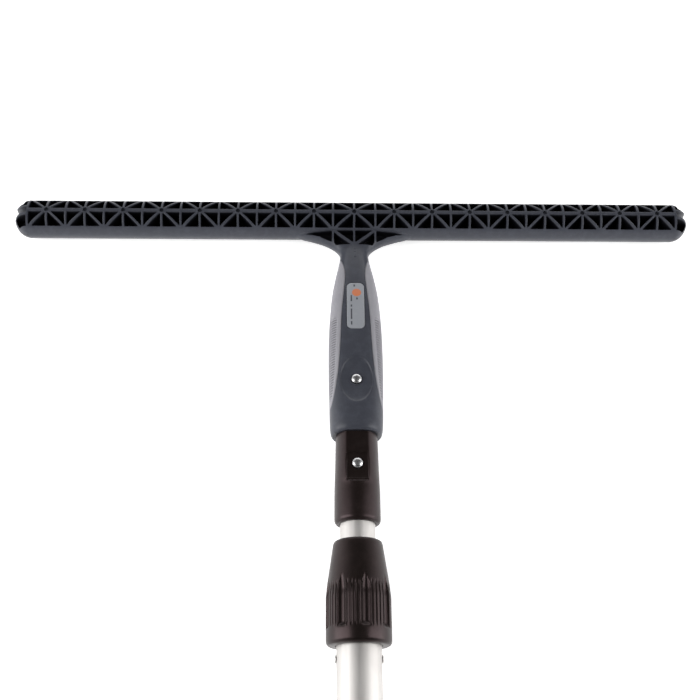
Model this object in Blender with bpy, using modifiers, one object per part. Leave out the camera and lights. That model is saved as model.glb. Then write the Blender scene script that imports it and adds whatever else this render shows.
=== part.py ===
"""Window washing T-bar on a pole adapter and a two-section twist-lock pole, lying lattice side up.

Metres, +Z up. The bar runs along X and the pole along Y, with the bar at the +Y end. Places along the
pole are given as a distance from the bar's axis towards the end cap, and called a station.
"""

import math

import bmesh
import bpy
from mathutils import Matrix, Vector

MM = 0.001
GAP = 0.3 * MM  # between pieces that touch

# Overall
TOTAL_LENGTH = 860 * MM
NUT_RADIUS = 18.5 * MM
BAR_RADIUS = 12.7 * MM
BAR_Y = TOTAL_LENGTH / 2 - BAR_RADIUS
BAR_Z = BAR_RADIUS
POLE_Z = NUT_RADIUS
CRANK = POLE_Z - BAR_Z  # how far the pole's axis lies above the bar's

# Bar lattice
STAR_PITCH = 25.4 * MM
STARS_PER_SIDE = 8
CENTRE_HALF_CELL = 14.2 * MM
END_PLATE_X = CENTRE_HALF_CELL + STARS_PER_SIDE * STAR_PITCH
LOBE_LENGTH = 10.7 * MM
RIB_HALF = 0.65 * MM
CREST_HALF = 1.15 * MM
WEB_HALF = 0.8 * MM
LATTICE_EDGE = 9.9 * MM
DIAGONAL_REACH = 11.1 * MM
CUT_TOP = 16 * MM
SLOT_HALF = 2.5 * MM
LOBE_WALL = 1.4 * MM

# Handle, as (station, half width, half height) of its sections
HANDLE_END = 158 * MM
HANDLE_SECTIONS = (
    (8.0, 42.0, 7.6),
    (12.7, 38.0, 7.4),
    (14.4, 31.8, 7.2),
    (16.9, 23.8, 6.9),
    (18.6, 19.8, 6.7),
    (20.4, 16.6, 6.6),
    (22.4, 13.7, 6.6),
    (24.6, 11.4, 6.8),
    (27.0, 9.9, 7.2),
    (30.0, 9.4, 7.8),
    (38.0, 10.6, 9.0),
    (48.0, 12.6, 10.1),
    (61.0, 14.7, 11.3),
    (76.0, 16.1, 12.4),
    (92.0, 16.9, 13.3),
    (108.0, 17.1, 14.0),
    (122.0, 17.0, 14.5),
    (139.0, 16.6, 15.0),
    (150.0, 16.3, 15.1),
    (154.5, 16.0, 14.9),
    (157.0, 15.4, 14.4),
    (158.0, 14.6, 13.7),
)
INSET_FROM = 8  # the first section that lies under the soft grips
SECTION_POWER = 2.5
SECTION_POINTS = 24
CRANK_FROM = 12 * MM
CRANK_LENGTH = 60 * MM

# Soft grips, as (station, half width of the core between them)
GRIP_SKIN = 2 * MM
GRIP_EDGE = (
    (31.0, 10.6),
    (36.0, 8.7),
    (43.0, 7.1),
    (50.0, 6.6),
    (62.0, 7.4),
    (77.0, 8.8),
    (100.0, 9.9),
    (115.5, 11.0),
    (125.0, 12.2),
    (134.0, 13.8),
    (141.0, 15.7),
    (146.0, 18.0),
)

# Label and thumb dish
LABEL_START = 56.4 * MM
LABEL_END = 90.8 * MM
LABEL_HALF_WIDTH = 5.6 * MM
LABEL_CORNER = 3.4 * MM
DISH_STATION = 125 * MM
DISH_DEPTH = 2.4 * MM

# Snap buttons
BUTTON_RADIUS = 3.1 * MM
BUTTON_HOLE_RADIUS = 3.4 * MM
BUTTON_FLANGE_RADIUS = 3.9 * MM
BUTTON_FLANGE = 1.0 * MM
BUTTON_PROUD = 2.2 * MM
LEAF = 0.6 * MM
LEAF_HALF_WIDTH = 3.5 * MM

# Pole adapter
TANG_RADIUS = 10 * MM
TANG_START = 106 * MM
TANG_BORE_RADIUS = 8 * MM
ADAPTER_SHOULDER = HANDLE_END + GAP
COLLAR_START = 189.4 * MM
COLLAR_RADIUS = 13.6 * MM
FLAT_HEIGHT = 12 * MM
FLAT_END = 188.6 * MM
ADAPTER_END = 212.4 * MM
RECESS_START = 172.8 * MM
RECESS_END = 184.4 * MM
RECESS_HALF_WIDTH = 10 * MM
RECESS_DEPTH = 0.6 * MM
LOWER_BUTTON_STATION = 178.4 * MM

# Tubes
INNER_RADIUS = 10.35 * MM
OUTER_RADIUS = 12.7 * MM
TUBE_WALL = 1 * MM
INNER_START = 162 * MM
INNER_END = 700 * MM
OUTER_START = 264.5 * MM
OUTER_END = 838 * MM
BUSH_LENGTH = 12 * MM

# Twist lock
NUT_START = 222.6 * MM
NUT_END = 281 * MM
NUT_SEAT_RADIUS = 13.4 * MM
NUT_THREAD_RADIUS = 12.9 * MM
COLLET_RADIUS = 12.5 * MM
COLLET_BORE_RADIUS = 10.65 * MM
COLLET_START = 233.5 * MM
COLLET_CONE_END = 246 * MM
COLLET_END = 297 * MM
COLLET_TIP_RADIUS = 11.4 * MM
FLUTES = 8
FLUTE_RADIUS = 6 * MM
FLUTE_START = 244.2 * MM
FLUTE_END = 272 * MM
FLUTE_DEPTH = 2.6 * MM
FLUTE_TURN = math.radians(11.5)
RIVET_STATION = 288 * MM
RIVET_RADIUS = 1.6 * MM

# Hand grip and cap
HAND_GRIP_START = 690 * MM
HAND_GRIP_RADIUS = 15.6 * MM
CAP_START = 838.3 * MM
CAP_RADIUS = 14.2 * MM
POLE_END = TOTAL_LENGTH - BAR_RADIUS

TURN_STEPS = 28
BAR_STEPS = 20


def clear_scene():
    for item in list(bpy.data.objects):
        bpy.data.objects.remove(item, do_unlink=True)


def new_collection(name, hidden=False):
    group = bpy.data.collections.new(name)
    bpy.context.scene.collection.children.link(group)
    group.hide_render = hidden
    return group


def add_object(name, mesh, group, parent=None):
    made = bpy.data.objects.new(name, mesh)
    group.objects.link(made)
    made.parent = parent
    return made


def finish_mesh(shape, name):
    """Turns a bmesh into a mesh whose faces point outwards."""
    bmesh.ops.recalc_face_normals(shape, faces=shape.faces)
    mesh = bpy.data.meshes.new(name)
    shape.to_mesh(mesh)
    shape.free()
    return mesh


def add_cutter(name, mesh, parent=None):
    cutter = add_object(name, mesh, cutters, parent)
    cutter.display_type = "WIRE"
    cutter.hide_render = True
    return cutter


def paint(piece, name, colour, roughness, metallic=0.0):
    """Gives a piece its own Principled material."""
    material = bpy.data.materials.new(name)
    material.use_nodes = True
    shader = material.node_tree.nodes["Principled BSDF"]
    shader.inputs["Base Color"].default_value = (*colour, 1.0)
    shader.inputs["Roughness"].default_value = roughness
    shader.inputs["Metallic"].default_value = metallic
    piece.data.materials.append(material)


def combine(piece, operation, other):
    """Adds a live Boolean of another object to a piece."""
    change = piece.modifiers.new(f"{operation.lower()}_{other.name}", "BOOLEAN")
    change.operation = operation
    change.solver = "EXACT"
    change.object = other


def skin_rings(shape, rings):
    """Skins a list of closed rings of points, with a face on each end."""
    loops = [[shape.verts.new(point) for point in ring] for ring in rings]
    count = len(loops[0])
    for near, far in zip(loops, loops[1:]):
        for i in range(count):
            j = (i + 1) % count
            shape.faces.new((near[i], near[j], far[j], far[i]))
    shape.faces.new(loops[0])
    shape.faces.new(list(reversed(loops[-1])))


def loft(name, rings):
    shape = bmesh.new()
    skin_rings(shape, rings)
    return finish_mesh(shape, name)


def prisms(name, outlines, axis, low, high):
    """Extrudes flat outlines between two levels of one axis: "X" takes (y, z) points, "Z" takes (x, y)."""
    shape = bmesh.new()
    for outline in outlines:
        if axis == "X":
            rings = [[(level, u, v) for u, v in outline] for level in (low, high)]
        else:
            rings = [[(u, v, level) for u, v in outline] for level in (low, high)]
        skin_rings(shape, rings)
    return finish_mesh(shape, name)


def turned(name, outline, group, parent, steps=TURN_STEPS):
    """Turns a closed outline of (radius, station) points, front to back outside and back again inside."""
    shape = bmesh.new()
    points = [shape.verts.new((radius, 0.0, station)) for radius, station in outline]
    for near, far in zip(points, points[1:]):
        shape.edges.new((near, far))
    if min(radius for radius, _ in outline) > 0:
        shape.edges.new((points[-1], points[0]))
    mesh = bpy.data.meshes.new(name)
    shape.to_mesh(mesh)
    shape.free()
    piece = add_object(name, mesh, group, parent)
    screw = piece.modifiers.new("turn", "SCREW")
    screw.steps = steps
    screw.render_steps = steps
    screw.use_merge_vertices = True
    screw.merge_threshold = 1e-6
    screw.use_normal_flip = True
    return piece


def through(points, station):
    """A smooth value through (station, value) points given in millimetres."""
    place = station / MM
    if place <= points[0][0]:
        return points[0][1] * MM
    for i in range(len(points) - 1):
        (x0, y0), (x1, y1) = points[i], points[i + 1]
        if place > x1:
            continue
        before = points[max(i - 1, 0)]
        after = points[min(i + 2, len(points) - 1)]
        slope0 = (y1 - before[1]) / (x1 - before[0])
        slope1 = (after[1] - y0) / (after[0] - x0)
        t = (place - x0) / (x1 - x0)
        bend = (x1 - x0) * t * (1 - t) * (slope0 * (1 - t) - slope1 * t)
        ease = t * t * (3 - 2 * t)
        return (y0 + (y1 - y0) * ease + bend) * MM
    return points[-1][1] * MM


def crank(station):
    """Height of the handle's centre line above the bar's axis."""
    t = min(max((station - CRANK_FROM) / CRANK_LENGTH, 0.0), 1.0)
    return CRANK * t * t * (3 - 2 * t)


def handle_half_height(station):
    return through([(s, h) for s, _, h in HANDLE_SECTIONS], station)


def handle_section(station, half_width, half_height):
    """One superellipse section of the handle, in world coordinates."""
    ring = []
    for i in range(SECTION_POINTS):
        angle = 2 * math.pi * (i + 0.5) / SECTION_POINTS
        across = math.copysign(abs(math.cos(angle)) ** (2 / SECTION_POWER), math.cos(angle))
        up = math.copysign(abs(math.sin(angle)) ** (2 / SECTION_POWER), math.sin(angle))
        ring.append((half_width * across, BAR_Y - station, BAR_Z + crank(station) + half_height * up))
    return ring


def handle_form(name, inset=0.0):
    """The whole outside of the handle, or the same form shrunk by an inset."""
    rings = []
    for station, half_width, half_height in HANDLE_SECTIONS:
        rings.append(handle_section(station * MM, half_width * MM - inset, half_height * MM - inset))
    if inset:
        rings = rings[INSET_FROM:]
    return loft(name, rings)


def bar_form(name):
    """The bar's round outside with its domed ends."""
    rings = []
    stops = [math.radians(a) for a in (8, 30, 52, 72)]
    ends = [(END_PLATE_X + LOBE_LENGTH * math.cos(a), BAR_RADIUS * math.sin(a)) for a in stops]
    ends.append((END_PLATE_X, BAR_RADIUS))
    for x, radius in ends + [(-x, radius) for x, radius in reversed(ends)]:
        angles = [2 * math.pi * i / BAR_STEPS for i in range(BAR_STEPS)]
        rings.append([(x, BAR_Y + radius * math.cos(a), BAR_Z + radius * math.sin(a)) for a in angles])
    return loft(name, rings)


def star_pockets(centre, half_cell):
    """The eight pockets around one star, as (x, distance from the crest) outlines."""
    slope = DIAGONAL_REACH / half_cell
    offset = RIB_HALF * math.hypot(1, slope)
    side = half_cell - RIB_HALF
    foot = (
        (RIB_HALF, RIB_HALF * slope + offset),
        (RIB_HALF, LATTICE_EDGE),
        ((LATTICE_EDGE - offset) / slope, LATTICE_EDGE),
    )
    flank = (
        ((CREST_HALF + offset) / slope, CREST_HALF),
        (side, CREST_HALF),
        (side, side * slope - offset),
    )
    pockets = []
    for outline in (foot, flank):
        for along in (1, -1):
            for across in (1, -1):
                pockets.append([(centre + along * x, across * s) for x, s in outline])
    return pockets


def junction_pockets():
    """Pockets of the web between the bar and the neck, as (x, station) outlines."""
    rib = CENTRE_HALF_CELL + RIB_HALF
    inner = CENTRE_HALF_CELL - RIB_HALF
    chord, floor = 11.4 * MM, 22.3 * MM
    lean = 1.0 * MM
    corner = floor - 2.6 * MM
    outer = (
        (33.5 * MM, 13.1 * MM),
        (27.0 * MM, chord + 0.7 * MM),
        (rib, chord),
        (rib, corner - 0.4 * MM),
        (22.8 * MM, 15.4 * MM),
        (28.0 * MM, 13.9 * MM),
    )
    upper = ((RIB_HALF, chord), (inner - lean, chord), (RIB_HALF, floor - 1.8 * MM))
    lower = (
        (inner, chord + 1.2 * MM),
        (inner, corner),
        (inner - 1.3 * MM, floor - 0.5 * MM),
        (RIB_HALF + lean, floor),
    )
    return [[(side * x, s) for x, s in outline] for outline in (outer, upper, lower) for side in (1, -1)]


def lobe_pocket(end, side):
    """The hollow in one end lobe, following its round outline."""
    low, high = SLOT_HALF + LOBE_WALL, LATTICE_EDGE
    reach = LOBE_LENGTH - LOBE_WALL
    outline = [(END_PLATE_X + RIB_HALF, low), (END_PLATE_X + RIB_HALF, high)]
    for i in range(4):
        across = high + (low - high) * i / 3
        outline.append((END_PLATE_X + reach * math.sqrt(1 - (across / BAR_RADIUS) ** 2), across))
    return [(end * x, side * s) for x, s in outline]


def lattice_cutter(name, face):
    """All the pockets of one face: 1 is the upper face and -1 the one against the floor."""
    outlines = []
    for i in range(-STARS_PER_SIDE, STARS_PER_SIDE + 1):
        if i == 0:
            outlines += star_pockets(0.0, CENTRE_HALF_CELL)
            continue
        centre = math.copysign(CENTRE_HALF_CELL + (abs(i) - 0.5) * STAR_PITCH, i)
        outlines += star_pockets(centre, STAR_PITCH / 2)
    outlines += [lobe_pocket(end, side) for end in (1, -1) for side in (1, -1)]
    placed = [[(x, BAR_Y + s) for x, s in outline] for outline in outlines]
    placed += [[(x, BAR_Y - s) for x, s in outline] for outline in junction_pockets()]
    low, high = sorted((BAR_Z + face * WEB_HALF, BAR_Z + face * CUT_TOP))
    return add_cutter(name, prisms(name, placed, "Z", low, high))


def end_slot(name, end):
    """The slot between the two lobes of one end."""
    start = END_PLATE_X + RIB_HALF
    stop = start + 2 * LOBE_LENGTH
    outline = [(start, -SLOT_HALF), (stop, -SLOT_HALF), (stop, SLOT_HALF), (start, SLOT_HALF)]
    placed = [(end * x, BAR_Y + s) for x, s in outline]
    return add_cutter(name, prisms(name, [placed], "Z", BAR_Z - CUT_TOP, BAR_Z + CUT_TOP))


def grip_region(name, side, spread=0.0):
    """Plan outline of one soft grip's side of the handle, extruded right through it."""
    first, last = GRIP_EDGE[0][0] * MM, GRIP_EDGE[-1][0] * MM
    steps = 22
    outline = []
    for i in range(steps + 1):
        station = first + (last - first) * i / steps
        outline.append((side * (through(GRIP_EDGE, station) - spread), BAR_Y - station))
    outline.append((side * 30 * MM, BAR_Y - last - spread))
    outline.append((side * 30 * MM, BAR_Y - first + spread))
    return add_cutter(name, prisms(name, [outline], "Z", -5 * MM, 45 * MM))


def label_region(name, spread=0.0):
    """Rounded rectangle of the label, extruded through the handle's upper half."""
    half = LABEL_HALF_WIDTH + spread
    corner = LABEL_CORNER + spread
    middle = (LABEL_START + LABEL_END) / 2
    reach = (LABEL_END - LABEL_START) / 2 + spread
    outline = []
    for quarter in range(4):
        across = half - corner if quarter in (0, 3) else corner - half
        along = reach - corner if quarter in (0, 1) else corner - reach
        for i in range(5):
            angle = math.pi / 2 * (quarter + i / 4)
            point = (across + corner * math.cos(angle), along + corner * math.sin(angle))
            outline.append((point[0], BAR_Y - middle + point[1]))
    return add_cutter(name, prisms(name, [outline], "Z", POLE_Z, 45 * MM))


def drum(name, radius, start, end, parent):
    """A plain round cutter along the pole's axis."""
    shape = bmesh.new()
    bmesh.ops.create_cone(
        shape,
        cap_ends=True,
        segments=TURN_STEPS,
        radius1=radius,
        radius2=radius,
        depth=end - start,
        matrix=Matrix.Translation((0, 0, (start + end) / 2)),
    )
    return add_cutter(name, finish_mesh(shape, name), parent)


def button_hole(name, station):
    """A round hole from the pole's axis up through whatever lies over it."""
    shape = bmesh.new()
    depth = 30 * MM
    place = Vector((0, BAR_Y - station, POLE_Z + depth / 2))
    bmesh.ops.create_cone(
        shape,
        cap_ends=True,
        segments=16,
        radius1=BUTTON_HOLE_RADIUS,
        radius2=BUTTON_HOLE_RADIUS,
        depth=depth,
        matrix=Matrix.Translation(place),
    )
    return add_cutter(name, finish_mesh(shape, name))


def dish_cutter():
    """The shallow ellipsoid that hollows the thumb dish."""
    shape = bmesh.new()
    half_across, half_along, half_up = 16 * MM, 19.5 * MM, 6 * MM
    floor = POLE_Z + handle_half_height(DISH_STATION) - DISH_DEPTH
    size = Matrix.Diagonal((half_across, half_along, half_up, 1))
    place = Matrix.Translation((0, BAR_Y - DISH_STATION, floor + half_up))
    bmesh.ops.create_uvsphere(shape, u_segments=24, v_segments=16, radius=1, matrix=place @ size)
    return add_cutter("thumb_dish", finish_mesh(shape, "thumb_dish"))


def build_tbar(inner_form):
    """Bar, web and handle core: one moulding."""
    body = add_object("tbar_body", bar_form("tbar_body"), pieces)
    handle = add_cutter("handle_outside", handle_form("handle_outside"))
    combine(body, "UNION", handle)
    for face, name in ((1, "upper_pockets"), (-1, "lower_pockets")):
        combine(body, "DIFFERENCE", lattice_cutter(name, face))
    for end, name in ((-1, "slot_left"), (1, "slot_right")):
        combine(body, "DIFFERENCE", end_slot(name, end))
    core_inside = add_cutter("core_inside", handle_form("core_inside", GRIP_SKIN + GAP))
    for side, name in ((-1, "grip_seat_left"), (1, "grip_seat_right")):
        seat = grip_region(name, side, GAP)
        combine(seat, "DIFFERENCE", core_inside)
        combine(body, "DIFFERENCE", seat)
    seat = label_region("label_seat", GAP)
    combine(seat, "DIFFERENCE", core_inside)
    combine(body, "DIFFERENCE", seat)
    combine(body, "DIFFERENCE", dish_cutter())
    bore = drum("handle_bore", TANG_RADIUS + GAP, TANG_START - GAP, HANDLE_END + 5 * MM, pole_axis)
    combine(body, "DIFFERENCE", bore)
    combine(body, "DIFFERENCE", button_hole("upper_button_hole", DISH_STATION))
    paint(body, "dark_grey_plastic", (0.045, 0.047, 0.054), 0.45)

    for side, name in ((-1, "grip_left"), (1, "grip_right")):
        grip = add_object(name, handle_form(name), pieces)
        combine(grip, "INTERSECT", grip_region(f"{name}_region", side))
        combine(grip, "DIFFERENCE", inner_form)
        paint(grip, f"{name}_rubber", (0.32, 0.32, 0.35), 0.6)

    label = add_object("label_plate", handle_form("label_plate"), pieces)
    combine(label, "INTERSECT", label_region("label_region"))
    combine(label, "DIFFERENCE", inner_form)
    paint(label, "label_plastic", (0.33, 0.33, 0.36), 0.4)


def build_snap(place, station, flange_top, dome_top, wall_radius):
    """One snap button and the bent leaf spring under it."""
    radius = BUTTON_RADIUS
    half_width = LEAF_HALF_WIDTH
    flange = BUTTON_FLANGE_RADIUS
    foot = flange_top - BUTTON_FLANGE
    outline = [(0.0, dome_top)]
    for angle in (30, 60, 85):
        a = math.radians(angle)
        outline.append((radius * math.sin(a), dome_top - 1.2 * MM * (1 - math.cos(a))))
    outline += [(radius, flange_top), (flange, flange_top), (flange, foot), (0.0, foot)]
    button = turned(f"snap_button_{place}", outline[::-1], pieces, None, 24)
    button.location = (0, BAR_Y - station, POLE_Z)
    paint(button, f"{place}_button_steel", (0.62, 0.62, 0.63), 0.2, 1.0)

    # The leaf runs from under the button to the bend and back along the far wall.
    top = foot - GAP
    low = -math.sqrt(wall_radius**2 - half_width**2) + GAP
    middle = (top + low) / 2
    bend = station + 24 * MM
    side = [
        (station - 4 * MM, top),
        (station + 4 * MM, top),
        (bend, middle + LEAF),
        (bend + LEAF, middle),
        (bend, middle - LEAF),
        (station + 4 * MM, low),
        (station - 4 * MM, low),
        (station - 4 * MM, low + LEAF),
        (station + 4 * MM, low + LEAF),
        (bend - LEAF, middle),
        (station + 4 * MM, top - LEAF),
        (station - 4 * MM, top - LEAF),
    ]
    placed = [(BAR_Y - s, POLE_Z + z) for s, z in side]
    name = f"snap_spring_{place}"
    spring = add_object(name, prisms(name, [placed], "X", -half_width, half_width), pieces)
    paint(spring, f"{place}_spring_steel", (0.5, 0.5, 0.52), 0.3, 1.0)


def build_adapter():
    """Tang, oval body with a flat and round collar, which join the handle to the inner tube."""
    lead = 1.2 * MM
    outline = [
        (0.0, TANG_START),
        (TANG_RADIUS - lead, TANG_START),
        (TANG_RADIUS, TANG_START + lead),
        (TANG_RADIUS, COLLAR_START - 2 * MM),
        (COLLAR_RADIUS, COLLAR_START),
        (COLLAR_RADIUS, ADAPTER_END - 4.5 * MM),
        (COLLAR_RADIUS - 0.4 * MM, ADAPTER_END - 2 * MM),
        (COLLAR_RADIUS - 1.1 * MM, ADAPTER_END - 0.6 * MM),
        (COLLAR_RADIUS - 2 * MM, ADAPTER_END),
        (0.0, ADAPTER_END),
    ]
    adapter = turned("pole_adapter", outline, pieces, pole_axis)

    rings = []
    for station, half_width, half_height in (
        (ADAPTER_SHOULDER, 12.7 * MM, 13.9 * MM),
        (FLAT_END - 3 * MM, 13.3 * MM, 13.95 * MM),
        (COLLAR_START + 1 * MM, COLLAR_RADIUS - 0.1 * MM, COLLAR_RADIUS - 0.1 * MM),
    ):
        angles = [2 * math.pi * i / TURN_STEPS for i in range(TURN_STEPS)]
        rings.append([(half_width * math.cos(a), half_height * math.sin(a), station) for a in angles])
    oval = add_cutter("adapter_oval", loft("adapter_oval", rings), pole_axis)
    combine(adapter, "UNION", oval)

    bore = drum("tang_bore", TANG_BORE_RADIUS, TANG_START + 2.5 * MM, INNER_START + 8 * MM, pole_axis)
    combine(adapter, "DIFFERENCE", bore)
    socket = drum("socket", INNER_RADIUS + 0.2 * MM, INNER_START - GAP, ADAPTER_END + 8 * MM, pole_axis)
    combine(adapter, "DIFFERENCE", socket)

    # The flat runs out in a ramp before the collar, and the lower button's recess is sunk in it.
    before, above = ADAPTER_SHOULDER - 6 * MM, FLAT_HEIGHT + 6 * MM
    ramp_end, ramp_top = COLLAR_START + 1.2 * MM, 14.4 * MM
    floor = FLAT_HEIGHT - RECESS_DEPTH
    flat = ((before, above), (before, FLAT_HEIGHT), (FLAT_END, FLAT_HEIGHT), (ramp_end, ramp_top), (ramp_end, above))
    recess = ((RECESS_START, above), (RECESS_START, floor), (RECESS_END, floor), (RECESS_END, above))
    for name, side, half_width in (
        ("adapter_flat", flat, 20 * MM),
        ("button_recess", recess, RECESS_HALF_WIDTH),
    ):
        placed = [(BAR_Y - s, POLE_Z + z) for s, z in side]
        cutter = add_cutter(name, prisms(name, [placed], "X", -half_width, half_width))
        combine(adapter, "DIFFERENCE", cutter)
    combine(adapter, "DIFFERENCE", button_hole("tang_button_hole", DISH_STATION))
    combine(adapter, "DIFFERENCE", button_hole("recess_button_hole", LOWER_BUTTON_STATION))
    paint(adapter, "black_plastic", (0.022, 0.02, 0.02), 0.4)


def build_inner_tube():
    bore = INNER_RADIUS - TUBE_WALL
    outline = [(INNER_RADIUS, INNER_START), (INNER_RADIUS, INNER_END), (bore, INNER_END), (bore, INNER_START)]
    tube = turned("inner_tube", outline, pieces, pole_axis)
    combine(tube, "DIFFERENCE", button_hole("tube_button_hole", LOWER_BUTTON_STATION))
    paint(tube, "inner_aluminium", (0.78, 0.78, 0.79), 0.28, 1.0)

    # The guide bush plugs the tube's low end and runs in the outer tube.
    plug = bore - GAP
    slide = OUTER_RADIUS - TUBE_WALL - 0.2 * MM
    head = INNER_END + GAP
    outline = [
        (6 * MM, INNER_END - 16 * MM),
        (plug, INNER_END - 16 * MM),
        (plug, head),
        (slide - 0.6 * MM, head),
        (slide, head + 0.8 * MM),
        (slide, head + BUSH_LENGTH - 0.8 * MM),
        (slide - 0.6 * MM, head + BUSH_LENGTH),
        (6 * MM, head + BUSH_LENGTH),
    ]
    bush = turned("guide_bush", outline, pieces, pole_axis)
    paint(bush, "bush_plastic", (0.03, 0.03, 0.032), 0.5)


def build_nut():
    """Fluted twist nut with its lip, seal seat, clamping bore and rear skirt."""
    top = NUT_START
    lip_bore = INNER_RADIUS + 0.5 * MM
    outline = [
        (lip_bore, top),
        (13.0 * MM, top),
        (13.9 * MM, top + 0.4 * MM),
        (14.35 * MM, top + 1.4 * MM),
        (17.65 * MM, top + 23.8 * MM),
        (NUT_RADIUS, top + 32 * MM),
        (NUT_RADIUS, NUT_END - 1.5 * MM),
        (NUT_RADIUS - 1.2 * MM, NUT_END),
        (NUT_THREAD_RADIUS + 0.3 * MM, NUT_END),
        (NUT_THREAD_RADIUS + 0.3 * MM, OUTER_START - 2.6 * MM),
        (NUT_THREAD_RADIUS, OUTER_START - 2.6 * MM),
        (NUT_THREAD_RADIUS, COLLET_CONE_END),
        (NUT_SEAT_RADIUS, COLLET_CONE_END - 2 * MM),
        (NUT_SEAT_RADIUS, top + 2.4 * MM),
        (lip_bore, top + 2.4 * MM),
    ]
    nut = turned("lock_nut", outline, pieces, pole_axis, 40)

    shape = bmesh.new()
    centre_radius = NUT_RADIUS - FLUTE_DEPTH + FLUTE_RADIUS
    start = FLUTE_START + 4.4 * MM
    stops = [(start + FLUTE_RADIUS * math.cos(math.radians(a)), math.sin(math.radians(a))) for a in (175, 145, 115)]
    stops += [(start, 1.0), (FLUTE_END - 4 * MM, 1.0)]
    stops += [(FLUTE_END - 4 * MM + FLUTE_RADIUS * math.sin(a), math.cos(a)) for a in (0.6, 1.2, 1.5)]
    for flute in range(FLUTES):
        turn = FLUTE_TURN + 2 * math.pi * flute / FLUTES
        centre = Vector((centre_radius * math.sin(turn), centre_radius * math.cos(turn), 0))
        rings = []
        for station, share in stops:
            ring = []
            for i in range(14):
                a = 2 * math.pi * i / 14
                radius = FLUTE_RADIUS * share
                ring.append(centre + Vector((radius * math.cos(a), radius * math.sin(a), station)))
            rings.append(ring)
        skin_rings(shape, rings)
    flutes = add_cutter("nut_flutes", finish_mesh(shape, "nut_flutes"), pole_axis)
    combine(nut, "DIFFERENCE", flutes)
    paint(nut, "nut_plastic", (0.02, 0.018, 0.018), 0.4)

    seal_top = top + 2.4 * MM + GAP
    seal_radius = NUT_SEAT_RADIUS - GAP
    outline = [
        (INNER_RADIUS + 0.06 * MM, seal_top + 0.8 * MM),
        (INNER_RADIUS + 0.8 * MM, seal_top),
        (seal_radius, seal_top),
        (seal_radius, seal_top + 2.6 * MM),
        (INNER_RADIUS + 0.8 * MM, seal_top + 2.6 * MM),
    ]
    seal = turned("wiper_seal", outline, pieces, pole_axis)
    paint(seal, "seal_rubber", (0.015, 0.015, 0.015), 0.7)

    # The thrust ring's inner cone lies along the collet's fingers.
    ring_start = seal_top + 2.6 * MM + GAP
    clear = 0.35 * MM
    outline = [
        (INNER_RADIUS + 0.5 * MM, ring_start),
        (seal_radius, ring_start),
        (seal_radius, COLLET_CONE_END - 3 * MM),
        (cone_radius(COLLET_CONE_END - 3 * MM) + clear, COLLET_CONE_END - 3 * MM),
        (cone_radius(COLLET_START) + clear, COLLET_START),
        (INNER_RADIUS + 0.5 * MM, COLLET_START - 1 * MM),
    ]
    thrust = turned("thrust_ring", outline, pieces, pole_axis)
    paint(thrust, "ring_plastic", (0.75, 0.72, 0.62), 0.45)


def cone_radius(station):
    """Outside radius of the collet's tapered fingers."""
    share = (station - COLLET_START) / (COLLET_CONE_END - COLLET_START)
    return COLLET_TIP_RADIUS + share * (COLLET_RADIUS - COLLET_TIP_RADIUS)


def collet_slot(name, turn):
    """One saw cut right across the collet, which parts its fingers."""
    width, across = 1.2 * MM, 40 * MM
    start, stop = COLLET_START - 5 * MM, COLLET_CONE_END + 8 * MM
    shape = bmesh.new()
    size = Matrix.Diagonal((width, across, stop - start, 1))
    spin = Matrix.Rotation(turn, 4, "Z")
    place = Matrix.Translation((0, 0, (start + stop) / 2))
    bmesh.ops.create_cube(shape, size=1, matrix=place @ spin @ size)
    return add_cutter(name, finish_mesh(shape, name), pole_axis)


def build_collet():
    """Slotted collet riveted in the mouth of the outer tube."""
    spigot = OUTER_RADIUS - TUBE_WALL - GAP
    flange_start = OUTER_START - 2.3 * MM
    outline = [
        (COLLET_BORE_RADIUS, COLLET_START),
        (COLLET_TIP_RADIUS, COLLET_START),
        (COLLET_RADIUS, COLLET_CONE_END),
        (COLLET_RADIUS, flange_start),
        (OUTER_RADIUS, flange_start),
        (OUTER_RADIUS, OUTER_START - GAP),
        (spigot, OUTER_START - GAP),
        (spigot, COLLET_END),
        (COLLET_BORE_RADIUS, COLLET_END),
    ]
    collet = turned("collet", outline, pieces, pole_axis)
    for turn in range(3):
        combine(collet, "DIFFERENCE", collet_slot(f"collet_slot_{turn + 1}", math.radians(30 + 60 * turn)))
    for side, name in ((-1, "rivet_seat_left"), (1, "rivet_seat_right")):
        combine(collet, "DIFFERENCE", rivet_bore(name, side))
    paint(collet, "collet_plastic", (0.7, 0.68, 0.6), 0.45)


def rivet_bore(name, side):
    """A hole along X through the outer tube and the collet, on one side."""
    shape = bmesh.new()
    place = Matrix.Translation((side * 12 * MM, 0, RIVET_STATION)) @ Matrix.Rotation(math.pi / 2, 4, "Y")
    radius = RIVET_RADIUS + GAP
    bmesh.ops.create_cone(
        shape, cap_ends=True, segments=14, radius1=radius, radius2=radius, depth=6 * MM, matrix=place
    )
    return add_cutter(name, finish_mesh(shape, name), pole_axis)


def build_rivets():
    """Two domed rivets that hold the collet in the outer tube."""
    head = OUTER_RADIUS + 0.2 * MM
    outline = [
        (0.0, INNER_RADIUS + 0.5 * MM),
        (RIVET_RADIUS, INNER_RADIUS + 0.5 * MM),
        (RIVET_RADIUS, head),
        (RIVET_RADIUS + 0.9 * MM, head),
        (RIVET_RADIUS * 0.7, head + 0.7 * MM),
        (0.0, head + 0.8 * MM),
    ]
    for side, name in ((-1, "collet_rivet_left"), (1, "collet_rivet_right")):
        rivet = turned(name, outline, pieces, pole_axis, 14)
        rivet.location = (0, 0, RIVET_STATION)
        rivet.rotation_euler = (0, side * math.pi / 2, 0)
        paint(rivet, f"{name}_aluminium", (0.7, 0.7, 0.71), 0.35, 1.0)


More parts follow.
